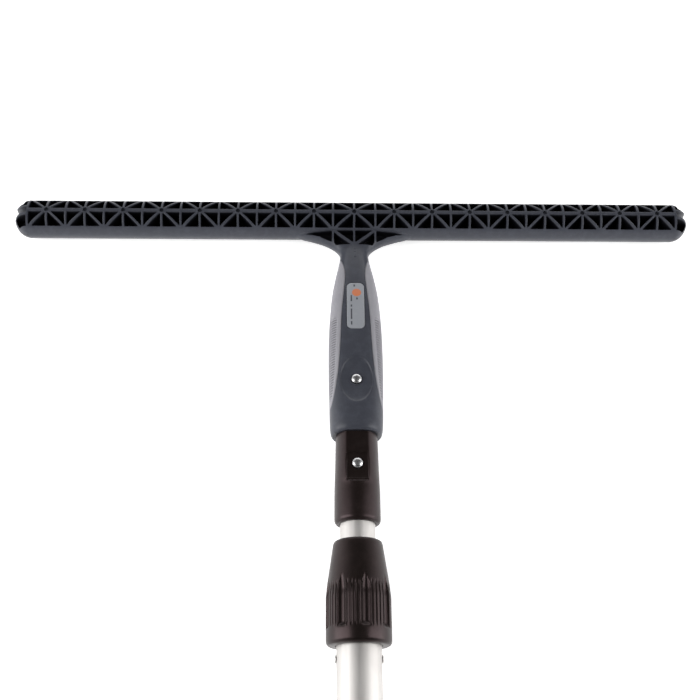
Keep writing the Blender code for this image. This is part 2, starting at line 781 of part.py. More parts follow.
def build_outer_tube():
    bore = OUTER_RADIUS - TUBE_WALL
    outline = [(OUTER_RADIUS, OUTER_START), (OUTER_RADIUS, OUTER_END), (bore, OUTER_END), (bore, OUTER_START)]
    tube = turned("outer_tube", outline, pieces, pole_axis)
    for side, name in ((-1, "tube_hole_left"), (1, "tube_hole_right")):
        combine(tube, "DIFFERENCE", rivet_bore(name, side))
    paint(tube, "outer_aluminium", (0.74, 0.74, 0.75), 0.32, 1.0)


def build_hand_grip():
    """Ribbed sleeve with a flared palm stop, its front ring and the end cap."""
    seat = OUTER_RADIUS + GAP
    ring_end = HAND_GRIP_START - GAP
    outline = [
        (seat, ring_end - 7 * MM),
        (14.2 * MM, ring_end - 7 * MM),
        (15.4 * MM, ring_end - 5 * MM),
        (15.4 * MM, ring_end),
        (seat, ring_end),
    ]
    ring = turned("grip_ring", outline, pieces, pole_axis)
    paint(ring, "ring_grey_plastic", (0.32, 0.32, 0.35), 0.45)

    outline = [(seat, HAND_GRIP_START), (HAND_GRIP_RADIUS, HAND_GRIP_START)]
    grooves = 5
    for i in range(grooves):
        station = HAND_GRIP_START + (16 + 18 * i) * MM
        outline += [
            (HAND_GRIP_RADIUS, station),
            (HAND_GRIP_RADIUS - 0.9 * MM, station + 1 * MM),
            (HAND_GRIP_RADIUS - 0.9 * MM, station + 3 * MM),
            (HAND_GRIP_RADIUS, station + 4 * MM),
        ]
    end = OUTER_END - 8 * MM
    outline += [
        (HAND_GRIP_RADIUS, end - 20 * MM),
        (NUT_RADIUS - 0.8 * MM, end - 9 * MM),
        (NUT_RADIUS, end - 6 * MM),
        (NUT_RADIUS, end - 2 * MM),
        (NUT_RADIUS - 1.5 * MM, end),
        (seat, end),
    ]
    grip = turned("hand_grip", outline, pieces, pole_axis)
    paint(grip, "hand_grip_rubber", (0.03, 0.03, 0.033), 0.65)

    spigot = OUTER_RADIUS - TUBE_WALL - GAP
    outline = [
        (0.0, CAP_START - 20 * MM),
        (spigot - 0.8 * MM, CAP_START - 20 * MM),
        (spigot, CAP_START - 18 * MM),
        (spigot, CAP_START),
        (CAP_RADIUS, CAP_START),
        (CAP_RADIUS, POLE_END - 2 * MM),
        (CAP_RADIUS - 2 * MM, POLE_END),
        (0.0, POLE_END),
    ]
    cap = turned("end_cap", outline, pieces, pole_axis)
    paint(cap, "cap_plastic", (0.025, 0.023, 0.023), 0.45)


clear_scene()
pieces = new_collection("window_washing_t_bar")
cutters = new_collection("cutters", hidden=True)
pole_axis = add_object("pole_axis", None, pieces)
pole_axis.location = (0, BAR_Y, POLE_Z)
pole_axis.rotation_euler = (math.pi / 2, 0, 0)

build_tbar(add_cutter("grip_inside", handle_form("grip_inside", GRIP_SKIN)))
dish_floor = handle_half_height(DISH_STATION) - DISH_DEPTH
build_snap("upper", DISH_STATION, 6.7 * MM, dish_floor + BUTTON_PROUD, TANG_BORE_RADIUS)
recess_floor = FLAT_HEIGHT - RECESS_DEPTH
build_snap("lower", LOWER_BUTTON_STATION, 8.2 * MM, recess_floor + BUTTON_PROUD, INNER_RADIUS - TUBE_WALL)
build_adapter()
build_inner_tube()
build_nut()
build_collet()
build_rivets()
build_outer_tube()
build_hand_grip()
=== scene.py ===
"""Looks of a window washing T-bar on a pole adapter and a two-section twist-lock pole, lying lattice side up.

Metres, +Z up. The bar runs along X and the pole along Y. A place along the pole is a distance from the
bar's axis towards the end cap, called a station and written in millimetres.
"""

from math import acos, asin, atan2, copysign, cos, dist, hypot, pi, radians, sin, sqrt, tan

import bmesh
import bpy
from mathutils import Matrix, Vector
from mathutils.geometry import delaunay_2d_cdt


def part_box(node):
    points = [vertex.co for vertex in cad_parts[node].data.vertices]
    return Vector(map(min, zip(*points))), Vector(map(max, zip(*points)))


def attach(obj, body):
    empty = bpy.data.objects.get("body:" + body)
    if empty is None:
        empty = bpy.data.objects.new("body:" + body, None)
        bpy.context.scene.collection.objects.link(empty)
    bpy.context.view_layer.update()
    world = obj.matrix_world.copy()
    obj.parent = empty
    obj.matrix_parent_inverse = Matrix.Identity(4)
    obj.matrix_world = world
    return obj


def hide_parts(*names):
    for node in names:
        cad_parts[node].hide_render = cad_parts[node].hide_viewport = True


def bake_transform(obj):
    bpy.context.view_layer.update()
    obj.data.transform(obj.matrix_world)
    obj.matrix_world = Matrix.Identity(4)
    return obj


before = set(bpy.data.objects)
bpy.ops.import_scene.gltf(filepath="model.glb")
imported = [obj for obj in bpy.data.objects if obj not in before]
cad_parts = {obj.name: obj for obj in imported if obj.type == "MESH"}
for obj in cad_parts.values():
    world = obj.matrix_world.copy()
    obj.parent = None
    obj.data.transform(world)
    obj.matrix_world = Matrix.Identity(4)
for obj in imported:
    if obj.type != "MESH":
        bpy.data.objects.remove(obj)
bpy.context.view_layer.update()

# ----------------------------------------------
# Washer bar. One glass-filled polypropylene moulding with the handle's core: a round bar opened from
# both faces into a lattice of star-shaped ribs on a middle web, with drafted, softly rounded pockets.
# ----------------------------------------------
MM = 0.001
BAR_RADIUS = 12.7
BAR_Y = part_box("tbar_body")[1].y / MM - BAR_RADIUS
BAR_Z = BAR_RADIUS
POLE_Z = (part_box("outer_tube")[0].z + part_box("outer_tube")[1].z) / 2 / MM
STAR_PITCH = 25.4
STARS_PER_SIDE = 8
CENTRE_HALF_CELL = 14.2
END_PLATE = CENTRE_HALF_CELL + STARS_PER_SIDE * STAR_PITCH
RIB_HALF = 0.65
BAR_END = END_PLATE + RIB_HALF
CREST_HALF = 1.15
WEB_HALF = 0.8
LATTICE_EDGE = 9.9
SHEET_EDGE = 10.6
SHEET_TURN = asin(SHEET_EDGE / BAR_RADIUS)
DIAGONAL_REACH = 11.1
CREST_ROUND = 0.22
WALL_DRAFT = 0.12
FLOOR_FILLET = 0.45
POCKET_CORNER = 0.45
STARS = [0.0] + [
    side * (CENTRE_HALF_CELL + (i + 0.5) * STAR_PITCH) for i in range(STARS_PER_SIDE) for side in (1, -1)
]
CREST_STEPS = 22
FLANK_STEPS = 13
SHARP = 38
NEARLY_STRAIGHT = radians(85)


def join_loops(shape, near, far):
    """A band of faces between two loops of as many vertices."""
    for i in range(len(near)):
        j = (i + 1) % len(near)
        shape.faces.new((near[i], near[j], far[j], far[i]))


def skin_rings(shape, rings, hollow=False):
    """Skins a list of closed rings of points, with a face on each end, or round again to the first."""
    loops = [[shape.verts.new(point) for point in ring] for ring in rings]
    for near, far in zip(loops, loops[1:]):
        join_loops(shape, near, far)
    if hollow:
        join_loops(shape, loops[-1], loops[0])
    else:
        shape.faces.new(loops[0])
        shape.faces.new(loops[-1][::-1])


def add_piece(name, shape, sharp=SHARP):
    """Adds a bmesh in millimetres as a smooth-shaded piece in metres that keeps its sharp edges."""
    bmesh.ops.dissolve_degenerate(shape, dist=1e-5, edges=shape.edges)
    bmesh.ops.scale(shape, vec=(MM, MM, MM), verts=shape.verts)
    bmesh.ops.recalc_face_normals(shape, faces=shape.faces)
    mesh = bpy.data.meshes.new(name)
    shape.to_mesh(mesh)
    shape.free()
    mesh.shade_smooth()
    mesh.set_sharp_from_angle(angle=radians(sharp))
    piece = bpy.data.objects.new(name, mesh)
    bpy.context.scene.collection.objects.link(piece)
    return piece


def carve(piece, operation, shape, name):
    """Joins a closed bmesh to a piece, or cuts it out, and keeps the result as the piece's mesh."""
    tool = add_piece(name, shape)
    change = piece.modifiers.new(name, "BOOLEAN")
    change.operation = operation
    change.solver = "EXACT"
    change.object = tool
    bpy.context.view_layer.update()
    result = piece.evaluated_get(bpy.context.evaluated_depsgraph_get())
    mesh = bpy.data.meshes.new_from_object(result)
    piece.modifiers.clear()
    piece.data = mesh
    bpy.data.objects.remove(tool)
    mesh.shade_smooth()
    mesh.set_sharp_from_angle(angle=radians(SHARP))


def arc(start, corner, end, t):
    """A point on the short curve that rounds a corner."""
    return (1 - t) ** 2 * start + 2 * t * (1 - t) * corner + t**2 * end


def rounded(outline, radius, steps=3):
    """A convex outline with each corner turned into a short arc, unless it is nearly straight."""
    made = []
    count = len(outline)
    for i in range(count):
        before, here, after = (Vector(outline[(i + k) % count]) for k in (-1, 0, 1))
        a, b = (before - here).normalized(), (after - here).normalized()
        half = a.angle(b) / 2
        if half > NEARLY_STRAIGHT:
            made.append(here)
            continue
        reach = min(radius / tan(half), 0.4 * (before - here).length, 0.4 * (after - here).length)
        made += [arc(here + a * reach, here, here + b * reach, k / steps) for k in range(steps + 1)]
    return made


def winding(outline):
    """1 for an anticlockwise outline, -1 for a clockwise one."""
    return copysign(1, sum(outline[i - 1].cross(outline[i]) for i in range(len(outline))))


def offset(outline, distance):
    """The same outline moved outwards by a distance, or inwards if it is negative."""
    count = len(outline)
    side = winding(outline)
    made = []
    for i in range(count):
        a = (outline[i] - outline[i - 1]).normalized()
        b = (outline[(i + 1) % count] - outline[i]).normalized()
        out = (Vector((a.y, -a.x)) + Vector((b.y, -b.x))) * side
        out = out / max(out.length_squared / 2, 0.35)
        made.append(outline[i] + out * distance)
    return made


def star_pockets(centre, half_cell):
    """The eight pockets round one star, as (x, distance from the middle crest) outlines."""
    slope = DIAGONAL_REACH / half_cell
    lean = RIB_HALF * hypot(1, slope)
    side = half_cell - RIB_HALF
    foot = (
        (RIB_HALF, RIB_HALF * slope + lean), (RIB_HALF, LATTICE_EDGE),
        ((LATTICE_EDGE - lean) / slope, LATTICE_EDGE),
    )
    flank = (
        ((CREST_HALF + lean) / slope, CREST_HALF), (side, CREST_HALF),
        (side, min(side * slope - lean, LATTICE_EDGE)),
    )
    return [
        rounded([(centre + along * x, across * s) for x, s in outline], POCKET_CORNER)
        for outline in (foot, flank)
        for along in (1, -1)
        for across in (1, -1)
    ]


def crest(across):
    """Height of the bar's round outside over its axis."""
    return sqrt(max(BAR_RADIUS**2 - across**2, 0.0))


def lattice_face(shape, face):
    """One open face of the bar: its rib crests, and the walls and floor of each pocket."""
    pockets = []
    for x in STARS:
        pockets += star_pockets(x, STAR_PITCH / 2 if x else CENTRE_HALF_CELL)
    pockets = [outline if winding(outline) > 0 else outline[::-1] for outline in pockets]
    rims = [offset(outline, CREST_ROUND) for outline in pockets]
    points, edges, faces = [], [], []
    for rim in rims:
        first = len(points)
        points += rim
        faces.append([first + i for i in range(len(rim))])
    columns = [0.0, BAR_END] + [CENTRE_HALF_CELL + i * STAR_PITCH / 2 for i in range(2 * STARS_PER_SIDE)]
    columns = sorted({round(side * x, 6) for x in columns for side in (1, -1)})
    for k in range(CREST_STEPS + 1):
        across = BAR_RADIUS * sin(SHEET_TURN * (2 * k / CREST_STEPS - 1))
        first = len(points)
        points += [Vector((x, across)) for x in columns]
        edges += [(first + i, first + i + 1) for i in range(len(columns) - 1)]
    flat, _, triangles, _, _, owners = delaunay_2d_cdt(points, edges, faces, 0, 1e-5, True)
    places = [shape.verts.new((p.x, p.y, face * crest(p.y))) for p in flat]
    inside = [set() for _ in rims]
    for triangle, owner in zip(triangles, owners):
        hit = [o for o in owner if o < len(rims)]
        if hit:
            inside[hit[0]].update(triangle)
            continue
        a, b, c = (flat[i] for i in triangle)
        if abs((b - a).cross(c - a)) > 1e-7:
            shape.faces.new([places[i] for i in triangle])
    for outline, rim, found in zip(pockets, rims, inside):
        middle = sum(rim, Vector((0, 0))) / len(rim)
        order = sorted(found, key=lambda i: atan2(flat[i].y - middle.y, flat[i].x - middle.x))
        steps = [
            (offset(outline, 0.3 * CREST_ROUND), 0.3 * CREST_ROUND, None),
            (outline, CREST_ROUND, None), (offset(outline, -WALL_DRAFT), 0, WEB_HALF + FLOOR_FILLET),
            (offset(outline, -WALL_DRAFT - 0.3 * FLOOR_FILLET), 0, WEB_HALF + 0.3 * FLOOR_FILLET),
            (offset(outline, -WALL_DRAFT - FLOOR_FILLET), 0, WEB_HALF),
        ]
        spots = []
        for i in order:
            best = None
            for k, start in enumerate(rim):
                run = rim[(k + 1) % len(rim)] - start
                t = min(max((flat[i] - start).dot(run) / run.length_squared, 0), 1)
                gap = (start + run * t - flat[i]).length
                if best is None or gap < best[0]:
                    best = (gap, k, t)
            spots.append(best[1:])
        loop = [places[i] for i in order]
        for ring, drop, level in steps:
            lower = []
            for k, t in spots:
                p = ring[k].lerp(ring[(k + 1) % len(ring)], t)
                height = crest(p.y) - drop if level is None else level
                lower.append(shape.verts.new((p.x, p.y, face * height)))
            join_loops(shape, loop, lower)
            loop = lower
        shape.faces.new(loop)


def lattice_bar():
    """The bar between its end plates, closed all round."""
    shape = bmesh.new()
    for face in (1, -1):
        lattice_face(shape, face)
    for side in (1, -1):
        edge = [v for v in shape.verts if abs(v.co.y - side * SHEET_EDGE) < 1e-4 and v.co.z > 0]
        columns = sorted(v.co.x for v in edge)
        rows = []
        for k in range(FLANK_STEPS + 1):
            turn = SHEET_TURN + (pi - 2 * SHEET_TURN) * k / FLANK_STEPS
            y, z = side * BAR_RADIUS * sin(turn), BAR_RADIUS * cos(turn)
            rows.append([shape.verts.new((x, y, z)) for x in columns])
        for near, far in zip(rows, rows[1:]):
            for i in range(len(columns) - 1):
                shape.faces.new((near[i], near[i + 1], far[i + 1], far[i]))
    bmesh.ops.remove_doubles(shape, verts=shape.verts, dist=1e-4)
    rim = [edge for edge in shape.edges if edge.is_boundary]
    bmesh.ops.holes_fill(shape, edges=rim, sides=0)
    bmesh.ops.translate(shape, verts=shape.verts, vec=(0, BAR_Y, BAR_Z))
    return shape


tbar = add_piece("tbar_moulding", lattice_bar())

# ----------------------------------------------
# End lobes and star bosses. Each end of the bar is a hollow dome split in two by a slot that grips the
# washer sleeve. A small round boss with an ejector mark stands in the middle of every star.
# ----------------------------------------------
LOBE_LENGTH = 10.6
SLOT_HALF = 2.2
SLOT_FLARE = 3.6
LOBE_WALL = 1.4
LOBE_RADIUS = BAR_RADIUS - 0.08
BOSS_RADIUS = 2.35
EJECTOR_MARK = 1.5
OVER_BAR = 16
BELOW, ABOVE = -5, 40


def circle(steps, radius, x=0.0, y=0.0):
    """Points evenly round a circle."""
    turns = [2 * pi * i / steps for i in range(steps)]
    return [(x + radius * cos(a), y + radius * sin(a)) for a in turns]


def dome(shape, end):
    """A half ellipsoid on one end of the bar, as a closed body that starts inside the end plate."""
    rings = []
    for k in range(16):
        turn = radians(2 + 88 * k / 15)
        x, radius = END_PLATE + LOBE_LENGTH * cos(turn), LOBE_RADIUS * sin(turn)
        rings.append([(end * x, y, z) for y, z in circle(72, radius, BAR_Y, BAR_Z)])
    skin_rings(shape, rings)


def prism(shape, outline, low, high):
    """A flat outline of (x, y) points between two heights."""
    skin_rings(shape, [[(x, y, level) for x, y in outline] for level in (low, high)])


def slot_edge(out):
    """Half the slot's width at a distance out from the end plate: it flares round the lobes' tips."""
    return SLOT_HALF + SLOT_FLARE * (out / LOBE_LENGTH) ** 4


def lobe_pocket(end, side):
    """Outline of the hollow in one lobe, which follows the dome and the flare of the slot."""
    reach = LOBE_LENGTH - LOBE_WALL
    near, far = [], []
    for i in range(15):
        out = RIB_HALF + (reach - RIB_HALF - 0.4) * i / 14
        low = slot_edge(out) + LOBE_WALL
        high = min(LATTICE_EDGE, BAR_RADIUS * sqrt(1 - (out / reach) ** 2))
        if high - low > 0.8:
            near.append((END_PLATE + out, low))
            far.append((END_PLATE + out, high))
    return [(end * x, side * s) for x, s in near + far[::-1]]


def pocket_cutter(shape, outline, flare, fillet, face):
    """A cutter from over the bar down to its web, with a flared rim and a rounded floor."""
    flat = [Vector(p) for p in outline]
    levels = [
        (-fillet, WEB_HALF), (-0.3 * fillet, WEB_HALF + 0.3 * fillet),
        (0.0, WEB_HALF + fillet), (flare, OVER_BAR),
    ]
    rings = []
    for grow, level in levels:
        ring = offset(flat, grow)
        rings.append([(p.x, p.y, BAR_Z + face * level) for p in ring])
    skin_rings(shape, rings)


domes = bmesh.new()
for end in (1, -1):
    dome(domes, end)
lobes = add_piece("lobes", domes)
hollows = bmesh.new()
for end in (1, -1):
    outs = [RIB_HALF + (LOBE_LENGTH + 1 - RIB_HALF) * i / 14 for i in range(15)]
    slot = [(END_PLATE + out, -slot_edge(out)) for out in outs]
    slot += [(END_PLATE + out, slot_edge(out)) for out in reversed(outs)]
    prism(hollows, [(end * x, BAR_Y + y) for x, y in slot], BELOW, ABOVE)
    for side in (1, -1):
        outline = rounded([(x, BAR_Y + y) for x, y in lobe_pocket(end, side)], 0.5)
        for face in (1, -1):
            pocket_cutter(hollows, outline, 0.1, 0.4, face)
carve(lobes, "DIFFERENCE", hollows, "lobe_hollows")

joined = bmesh.new()
joined.from_mesh(lobes.data)
bmesh.ops.scale(joined, vec=(1 / MM,) * 3, verts=joined.verts)
bpy.data.objects.remove(lobes)
for x in STARS:
    for face in (1, -1):
        top = BAR_RADIUS + (0.1 if face > 0 else -0.15)
        profile = ((0, top - 2.5), (0, top - 0.25), (0.08, top - 0.08), (0.25, top))
        rings = []
        for inset, level in profile:
            spots = circle(28, BOSS_RADIUS - inset, x, BAR_Y)
            rings.append([(u, v, BAR_Z + face * level) for u, v in spots])
        skin_rings(joined, rings)

# ----------------------------------------------
# Handle core. The same moulding runs out of the bar through a web with six pockets, into a slim neck
# and a full grip with a thumb dish for the upper button, a label seat, and a round bore in its mouth.
# ----------------------------------------------
SECTIONS = (
    (8.0, 42.0, 7.6), (12.7, 38.0, 7.4), (14.4, 31.8, 7.2), (16.9, 23.8, 6.9),
    (18.6, 19.8, 6.7), (20.4, 16.6, 6.6), (22.4, 13.7, 6.6), (24.6, 11.4, 6.8),
    (27.0, 9.9, 7.2), (30.0, 9.4, 7.8), (38.0, 10.6, 9.0), (48.0, 12.6, 10.1),
    (61.0, 14.7, 11.3), (76.0, 16.1, 12.4), (92.0, 16.9, 13.3), (108.0, 17.1, 14.0),
    (122.0, 17.0, 14.5), (139.0, 16.6, 15.0), (150.0, 16.3, 15.1), (154.5, 16.0, 14.9),
    (157.0, 15.4, 14.4), (158.0, 14.6, 13.7),
)
GRIP_EDGE = (
    (31.0, 10.6), (36.0, 8.7), (43.0, 7.1), (50.0, 6.6),
    (62.0, 7.4), (77.0, 8.8), (100.0, 9.9), (115.5, 11.0),
    (125.0, 12.2), (134.0, 13.8), (141.0, 15.7), (146.0, 18.0),
)
SECTION_POWER = 2.5
HANDLE_END = 158.0
GRIP_SKIN = 2.0
GAP = 0.3
DISH_STATION = 125.0
DISH_DEPTH = 2.4
DISH_HALF = Vector((10.3, 15.8))
BORE_RADIUS = 10.3
BORE_START = 105.7
BUTTON_HOLE = 3.4
LABEL_START, LABEL_END = 56.4, 90.8
LABEL_HALF, LABEL_CORNER = 5.6, 3.4
LEAST_SIDE = radians(2.5)


def through(points, place):
    """A smooth value through (place, value) points."""
    if place <= points[0][0]:
        return points[0][1]
    for i in range(len(points) - 1):
        (x0, y0), (x1, y1) = points[i], points[i + 1]
        if place > x1:
            continue
        before, after = points[max(i - 1, 0)], points[min(i + 2, len(points) - 1)]
        slope0 = (y1 - before[1]) / (x1 - before[0])
        slope1 = (after[1] - y0) / (after[0] - x0)
        t = (place - x0) / (x1 - x0)
        bend = (x1 - x0) * t * (1 - t) * (slope0 * (1 - t) - slope1 * t)
        return y0 + (y1 - y0) * t * t * (3 - 2 * t) + bend
    return points[-1][1]


def ease(low, high, value):
    t = min(max((value - low) / (high - low), 0.0), 1.0)
    return t * t * (3 - 2 * t)


def half_width(station):
    return through([(s, w) for s, w, _ in SECTIONS], station)


def half_height(station):
    return through([(s, h) for s, _, h in SECTIONS], station)


def centre_height(station):
    """The handle's centre line rises from the bar's axis to the pole's."""
    return BAR_Z + (POLE_Z - BAR_Z) * ease(12, 72, station)


def on_section(station, turn, inset=0.0):
    """A point of the handle's section at an angle from +X, as (x, height over the centre line)."""
    c, s = cos(turn), sin(turn)
    across = copysign(abs(c) ** (2 / SECTION_POWER), c)
    up = copysign(abs(s) ** (2 / SECTION_POWER), s)
    return (half_width(station) - inset) * across, (half_height(station) - inset) * up


def edge_turn(station, edge, inset=0.0):
    """The angle at which a section reaches out to x = edge, or 0 where it doesn't."""
    share = edge / (half_width(station) - inset)
    return acos(share ** (SECTION_POWER / 2)) if share < 1 else 0.0


def dish(x, station, height):
    """Lowers a height over the pole's axis where the thumb dish is hollowed out."""
    u, v = x / DISH_HALF.x, (station - DISH_STATION) / DISH_HALF.y
    inside = 1 - u * u - v * v
    return height - DISH_DEPTH * inside**0.6 * ease(0, 0.12, inside) if inside > 0 else height


def core_ring(station):
    """One section of the core, stepped in under the soft grips."""
    gripped = GRIP_EDGE[0][0] < station < GRIP_EDGE[-1][0]
    side = edge_turn(station, through(GRIP_EDGE, station) - GAP) if gripped else 0.0
    inset = (GRIP_SKIN + GAP) * ease(LEAST_SIDE, radians(9), side)
    side = max(side, LEAST_SIDE)
    edge = on_section(station, side)[0]
    inner = edge_turn(station, edge, inset) if inset else side
    top = [radians(90) - (radians(90) - side) * (1 - 2 * i / 64) for i in range(65)]
    ring = []
    for turn in top:
        x, z = on_section(station, turn)
        ring.append((x, dish(x, station, z)))
    flank = [pi - inner + 2 * inner * i / 20 for i in range(21)]
    ring += [on_section(station, turn, inset) for turn in flank]
    ring += [(x, -z) for x, z in (on_section(station, turn) for turn in reversed(top))]
    ring += [on_section(station, turn - pi, inset) for turn in flank]
    return ring


def at_station(station, section, height=POLE_Z):
    """A section's (x, height) points, put in their place along the pole."""
    return [(x, BAR_Y - station, height + z) for x, z in section]


handle = bmesh.new()
stations = [10.2 + 0.6 * i for i in range(34)] + [31 + 0.55 * i for i in range(216)]
stations = [s for s in stations if s < 149.5] + [149.5 + 0.5 * i for i in range(15)]
stations += [157, 157.4, 157.7, 157.9]
rings = []
for station in stations + [HANDLE_END]:
    rings.append(at_station(station, core_ring(station), centre_height(station)))
turns = [atan2(z - POLE_Z, x) for x, _, z in rings[-1]]
for station, radius in (
    (HANDLE_END, BORE_RADIUS + 0.5), (HANDLE_END - 0.15, BORE_RADIUS + 0.2),
    (HANDLE_END - 0.5, BORE_RADIUS), (BORE_START, BORE_RADIUS),
):
    rings.append(at_station(station, [(radius * cos(t), radius * sin(t)) for t in turns]))
skin_rings(handle, rings)
# Three small cavity marks stand on the neck.
for station, radius in ((26.4, 0.5), (29.0, 0.5), (33.6, 0.75)):
    top = centre_height(station) + half_height(station)
    rings = []
    for spread, level in ((1, top - 1), (1, top + 0.12), (0.75, top + 0.2)):
        rings.append([(x, y, level) for x, y in circle(20, spread * radius, 0.4, BAR_Y - station)])
    skin_rings(handle, rings)
bmesh.ops.remove_doubles(handle, verts=handle.verts, dist=1e-4)
bmesh.ops.recalc_face_normals(handle, faces=handle.faces)
handle_mesh = bpy.data.meshes.new("handle")
handle.to_mesh(handle_mesh)
handle.free()
joined.from_mesh(handle_mesh)
carve(tbar, "UNION", joined, "lobes_bosses_handle")


def junction_pockets():
    """Pockets of the web between the bar and the neck, as (x, station) outlines."""
    rib, inner = CENTRE_HALF_CELL + RIB_HALF, CENTRE_HALF_CELL - RIB_HALF
    chord, floor, lean = 11.4, 22.3, 1.0
    corner = floor - 2.6
    outer = (
        (33.5, 13.1), (27.0, chord + 0.7), (rib, chord), (rib, corner - 0.4), (22.8, 15.4),
        (28.0, 13.9),
    )
    upper = ((RIB_HALF, chord), (inner - lean, chord), (RIB_HALF, floor - 1.8))
    lower = (
        (inner, chord + 1.2), (inner, corner), (inner - 1.3, floor - 0.5), (RIB_HALF + lean, floor),
    )
    return [[(side * x, s) for x, s in outline] for outline in (outer, upper, lower) for side in (1, -1)]


def label_outline(spread):
    """Rounded rectangle of the label in the handle's upper face, as (x, y) points."""
    half, corner = LABEL_HALF + spread, LABEL_CORNER + spread
    middle, reach = (LABEL_START + LABEL_END) / 2, (LABEL_END - LABEL_START) / 2 + spread
    outline = []
    for quarter in range(4):
        across = half - corner if quarter in (0, 3) else corner - half
        along = reach - corner if quarter in (0, 1) else corner - reach
        for i in range(9):
            turn = pi / 2 * (quarter + i / 8)
            outline.append((across + corner * cos(turn), BAR_Y - middle + along + corner * sin(turn)))
    return outline


def button_hole(shape, station):
    """A cutter for a snap button's hole, from the pole's axis up."""
    prism(shape, circle(48, BUTTON_HOLE, 0, BAR_Y - station), POLE_Z, ABOVE)


cuts = bmesh.new()
for outline in junction_pockets():
    placed = rounded([(x, BAR_Y - s) for x, s in outline], 0.6)
    for face in (1, -1):
        pocket_cutter(cuts, placed, 0.15, 0.5, face)
seat = label_outline(GAP)
seat_floor = POLE_Z + half_height(LABEL_START) - GRIP_SKIN - GAP
prism(cuts, seat, seat_floor, ABOVE)
button_hole(cuts, DISH_STATION)
for x in STARS:
    for face in (1, -1):
        mark = circle(24, EJECTOR_MARK, x, BAR_Y)
        prism(cuts, mark, BAR_Z + face * (BAR_RADIUS - 1.1), BAR_Z + face * (BAR_RADIUS + 1))
carve(tbar, "DIFFERENCE", cuts, "web_pockets_and_seats")


def note_depth(mesh, depth_at):
    """Notes on every vertex how deep in a pocket or groove it lies, in mm, for the material to darken it
    there: painted shade, and grime as well in the grips' grooves.
    """
    note = mesh.attributes.new("groove_depth", "FLOAT", "POINT")
    for i, vertex in enumerate(mesh.vertices):
        note.data[i].value = depth_at(vertex.co / MM)


def moulding_depth(place):
    """Depth under the outside of the bar, the web or the label seat."""
    x, station = place.x, BAR_Y - place.y
    reach = max(abs(x) - END_PLATE, 0.0) / LOBE_LENGTH
    radius = BAR_RADIUS * sqrt(max(1 - reach**2, 0.0))
    depth = sqrt(max(radius**2 - station**2, 0.0)) - abs(place.z - BAR_Z)
    if 10.8 < station < 95 and abs(x) < half_width(station):
        share = (abs(x) / half_width(station)) ** SECTION_POWER
        over = half_height(station) * (1 - share) ** (1 / SECTION_POWER)
        depth = max(depth, over - abs(place.z - centre_height(station)))
    return max(depth, 0.0)


# The material darkens the bar's pockets by this depth: painted shade.
note_depth(tbar.data, moulding_depth)
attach(tbar, "head")
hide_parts("tbar_body")


def linear(colour):
    """An sRGB hex colour as linear RGBA."""
    parts = [int(colour[i : i + 2], 16) / 255 for i in (1, 3, 5)]
    return (*(c / 12.92 if c <= 0.04045 else ((c + 0.055) / 1.055) ** 2.4 for c in parts), 1.0)


def add_node(tree, kind, inputs=None, **settings):
    """Adds a node with its settings; each input is a value, or an output socket to link from."""
    made = tree.nodes.new("ShaderNode" + kind)
    for name, value in settings.items():
        setattr(made, name, value)
    for name, value in (inputs or {}).items():
        if isinstance(value, bpy.types.NodeSocket):
            tree.links.new(value, made.inputs[name])
        else:
            made.inputs[name].default_value = value
    return made


def new_material(name):
    """A material with a bare Principled shader, and its node tree."""
    material = bpy.data.materials.new(name)
    material.use_nodes = True
    return material, material.node_tree, material.node_tree.nodes["Principled BSDF"]


